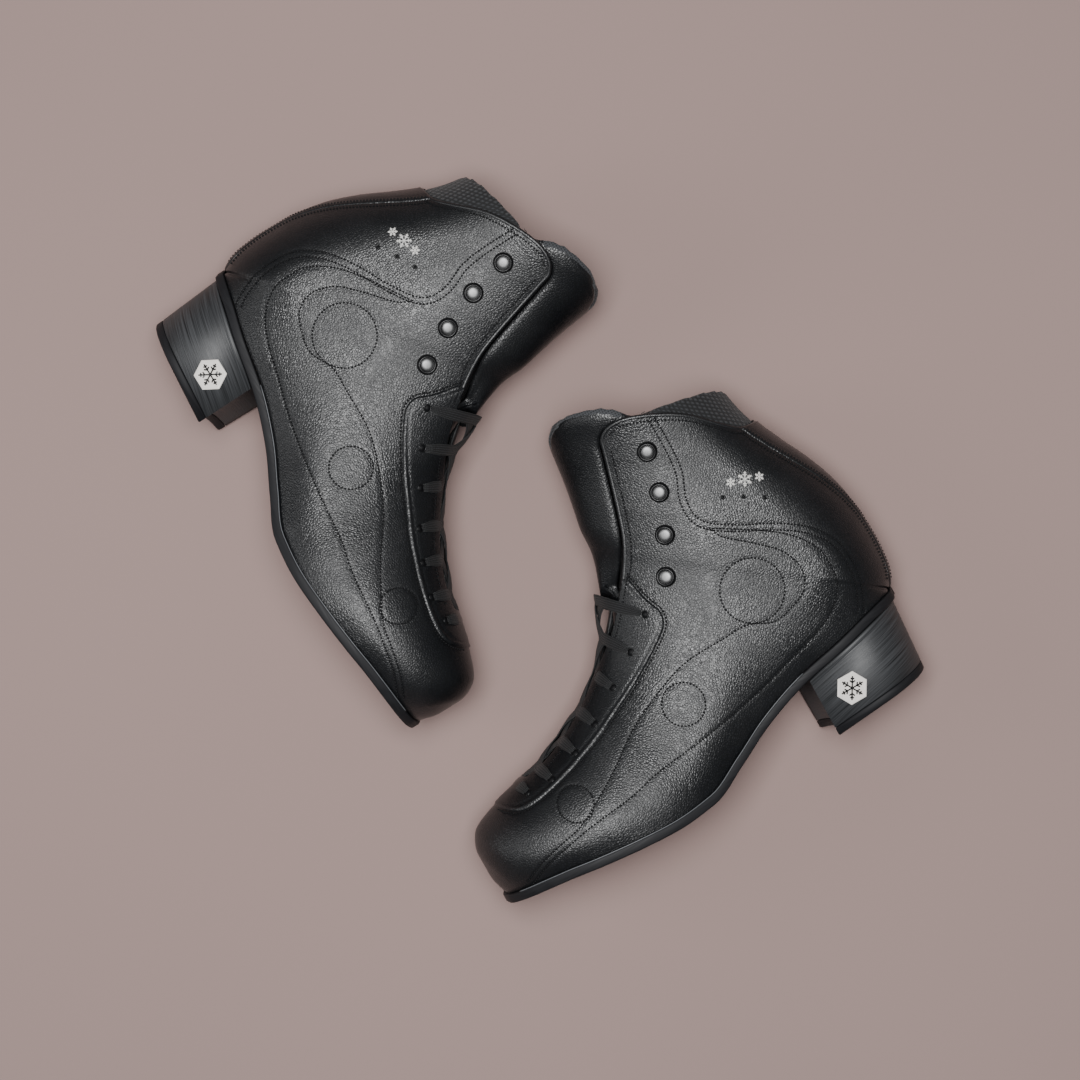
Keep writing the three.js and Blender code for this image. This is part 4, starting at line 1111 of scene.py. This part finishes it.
def heel_outline(share, grow=0.0):
    half = HEEL["top"] + (HEEL["bottom"] - HEEL["top"]) * share + grow
    back = HEEL["back"] + HEEL["rear_slope"] * share - grow
    a = np.linspace(math.pi / 2, math.pi * 1.5, 49)
    arc = np.stack([back + half + half * np.cos(a), half * np.sin(a)], -1)
    t = np.linspace(-1, 1, 21)
    front = np.stack([HEEL["front"] + grow - HEEL["breast"] * (1 - t * t), half * t], -1)
    return np.vstack([arc, front])


def heel_ground(x):
    (x0, z0), (x1, z1) = HEEL_BASE
    return z0 + (x - x0) / (x1 - x0) * (z1 - z0)


def heel_solid(levels):
    """levels: (share of the height from the ground, extra height, growth) from top to bottom."""
    rings = []
    for share, extra, grow in levels:
        upper, lower = heel_outline(0, grow), heel_outline(1, grow)
        roof = feather_height(upper[:, 0]) - OUTSOLE["gap"] - OUTSOLE["thickness"] - 0.45
        floor = heel_ground(upper[:, 0])
        z = floor + (roof - floor) * share + extra
        mix = np.clip(1 - (z - floor) / (roof - floor), 0, 1)[:, None]
        rings.append(np.column_stack([upper + (lower - upper) * mix, z]))
    count = len(rings[0])
    last = (len(rings) - 1) * count
    faces = bands(len(rings) - 1, count)
    faces += [tuple(range(count - 1, -1, -1)), tuple(range(last, last + count))]
    return np.vstack(rings), turned_over(faces)


def make_heel():
    block = [(1, 0, -0.4), (1, -0.5, 0), (1, -2.6, 0.0), (1, -2.9, -0.28), (1, -3.2, 0.0), (0.5, 0, 0.0)]
    block += [(0, TOP_LIFT + 0.8, 0), (0, TOP_LIFT + 0.35, -0.35)]
    points, faces = heel_solid(block)
    both("stacked_heel", points, faces, [HEEL_MAT], ("heel_block",))
    lift = [(0, TOP_LIFT + 0.1, -0.35), (0, TOP_LIFT - 0.4, 0.0), (0, 0.7, 0.0), (0, 0.0, -0.7)]
    points, faces = heel_solid(lift)
    both("heel_top_lift", points, faces, [SOLE_MAT], ("top_lift",))


def make_badge():
    """A six-sided enamelled plate with a dark flake, on the heel's outer face."""
    height = feather_height(BADGE["x"]) - 5.6 - heel_ground(BADGE["x"])
    share = 1 - (BADGE["z"] - heel_ground(BADGE["x"])) / height
    face = HEEL["top"] + (HEEL["bottom"] - HEEL["top"]) * share
    lean = math.atan2(HEEL["top"] - HEEL["bottom"], height)
    turned = np.array(Matrix.Rotation(-math.pi / 2 - lean, 3, "X"))
    centre = np.array([BADGE["x"], face + 0.05, BADGE["z"]])
    profile = [(0, 0), (1, 0), (1, 0.7), (0.96, 0.95), (0.86, 1.0), (0.84, 0.85), (0, 0.85)]
    plate, plate_faces = turned_part(profile, 6)
    plate = plate * (BADGE["radius"], BADGE["radius"], 1)
    parts = [(plate @ turned.T + centre, plate_faces)]
    strokes = [tube(np.linspace(a, b, 3) + (0, 0, 0.9), 0.42, 6) for a, b in snowflake(6.4)]
    strokes = [(p @ turned.T + centre, f) for p, f in strokes]
    count = len(plate_faces)
    points, faces = joined(parts + strokes)
    slots = [0 if k < count else 1 for k in range(len(faces))]
    looks = [PLATE_MAT, RING_MAT]
    both("heel_plate", points, faces, looks, ("heel_badge",), slots=slots, smooth=False)


make_upper()
make_overlays()
make_lining()
make_piping()
make_seams()
make_collar()
make_tongue()
make_laces()
make_studs()
make_eyelets()
make_motifs()
make_outsole()
make_heel()
make_badge()


# ------------------------------------------------------------------ floor, light and camera
def floor_nodes(tree, shader):
    grain = noise(tree, node(tree, "TexCoord").outputs["Object"], 2.2, 2)
    coloured(tree, shader, grain, (0.276, 0.195, 0.179), (0.31, 0.22, 0.201))


def make_stage():
    floor = add_mesh("floor", [(-3, -3, 0), (3, -3, 0), (3, 3, 0), (-3, 3, 0)], [(0, 1, 2, 3)], [])
    floor.data.materials.append(material("floor_paper", floor_nodes, Roughness=0.95))
    world = bpy.data.worlds.new("room")
    world.use_nodes = True
    world.node_tree.nodes["Background"].inputs["Color"].default_value = (0.8, 0.86, 0.92, 1)
    world.node_tree.nodes["Background"].inputs["Strength"].default_value = 0.13
    bpy.context.scene.world = world
    for name, size, place, power in (
        ("overhead", 0.7, (-0.05, 0.06, 1.75), 44.0),
        ("side_fill", 1.0, (-1.7, 0.9, 1.1), 9.0),
    ):
        light = bpy.data.lights.new(name, "AREA")
        light.shape = "SQUARE"
        light.size = size
        light.energy = power
        lamp = bpy.data.objects.new(name, light)
        lamp.location = place
        lamp.rotation_euler = (Vector((0, 0, 0.05)) - Vector(place)).to_track_quat("-Z", "Y").to_euler()
        bpy.context.scene.collection.objects.link(lamp)


def make_camera():
    middle = (CAD_BOX[0][2] + CAD_BOX[1][2]) / 2
    lens = bpy.data.cameras.new("camera")
    lens.sensor_width = 36
    lens.lens = 36 * (CAMERA_HEIGHT - middle) / FRAME_WIDTH
    camera = bpy.data.objects.new("camera", lens)
    camera.location = (VIEW_CENTRE[0], VIEW_CENTRE[1], CAMERA_HEIGHT)
    camera.rotation_euler = (0, 0, -math.radians(CAMERA_ROLL))
    bpy.context.scene.collection.objects.link(camera)
    bpy.context.scene.camera = camera


make_stage()
make_camera()
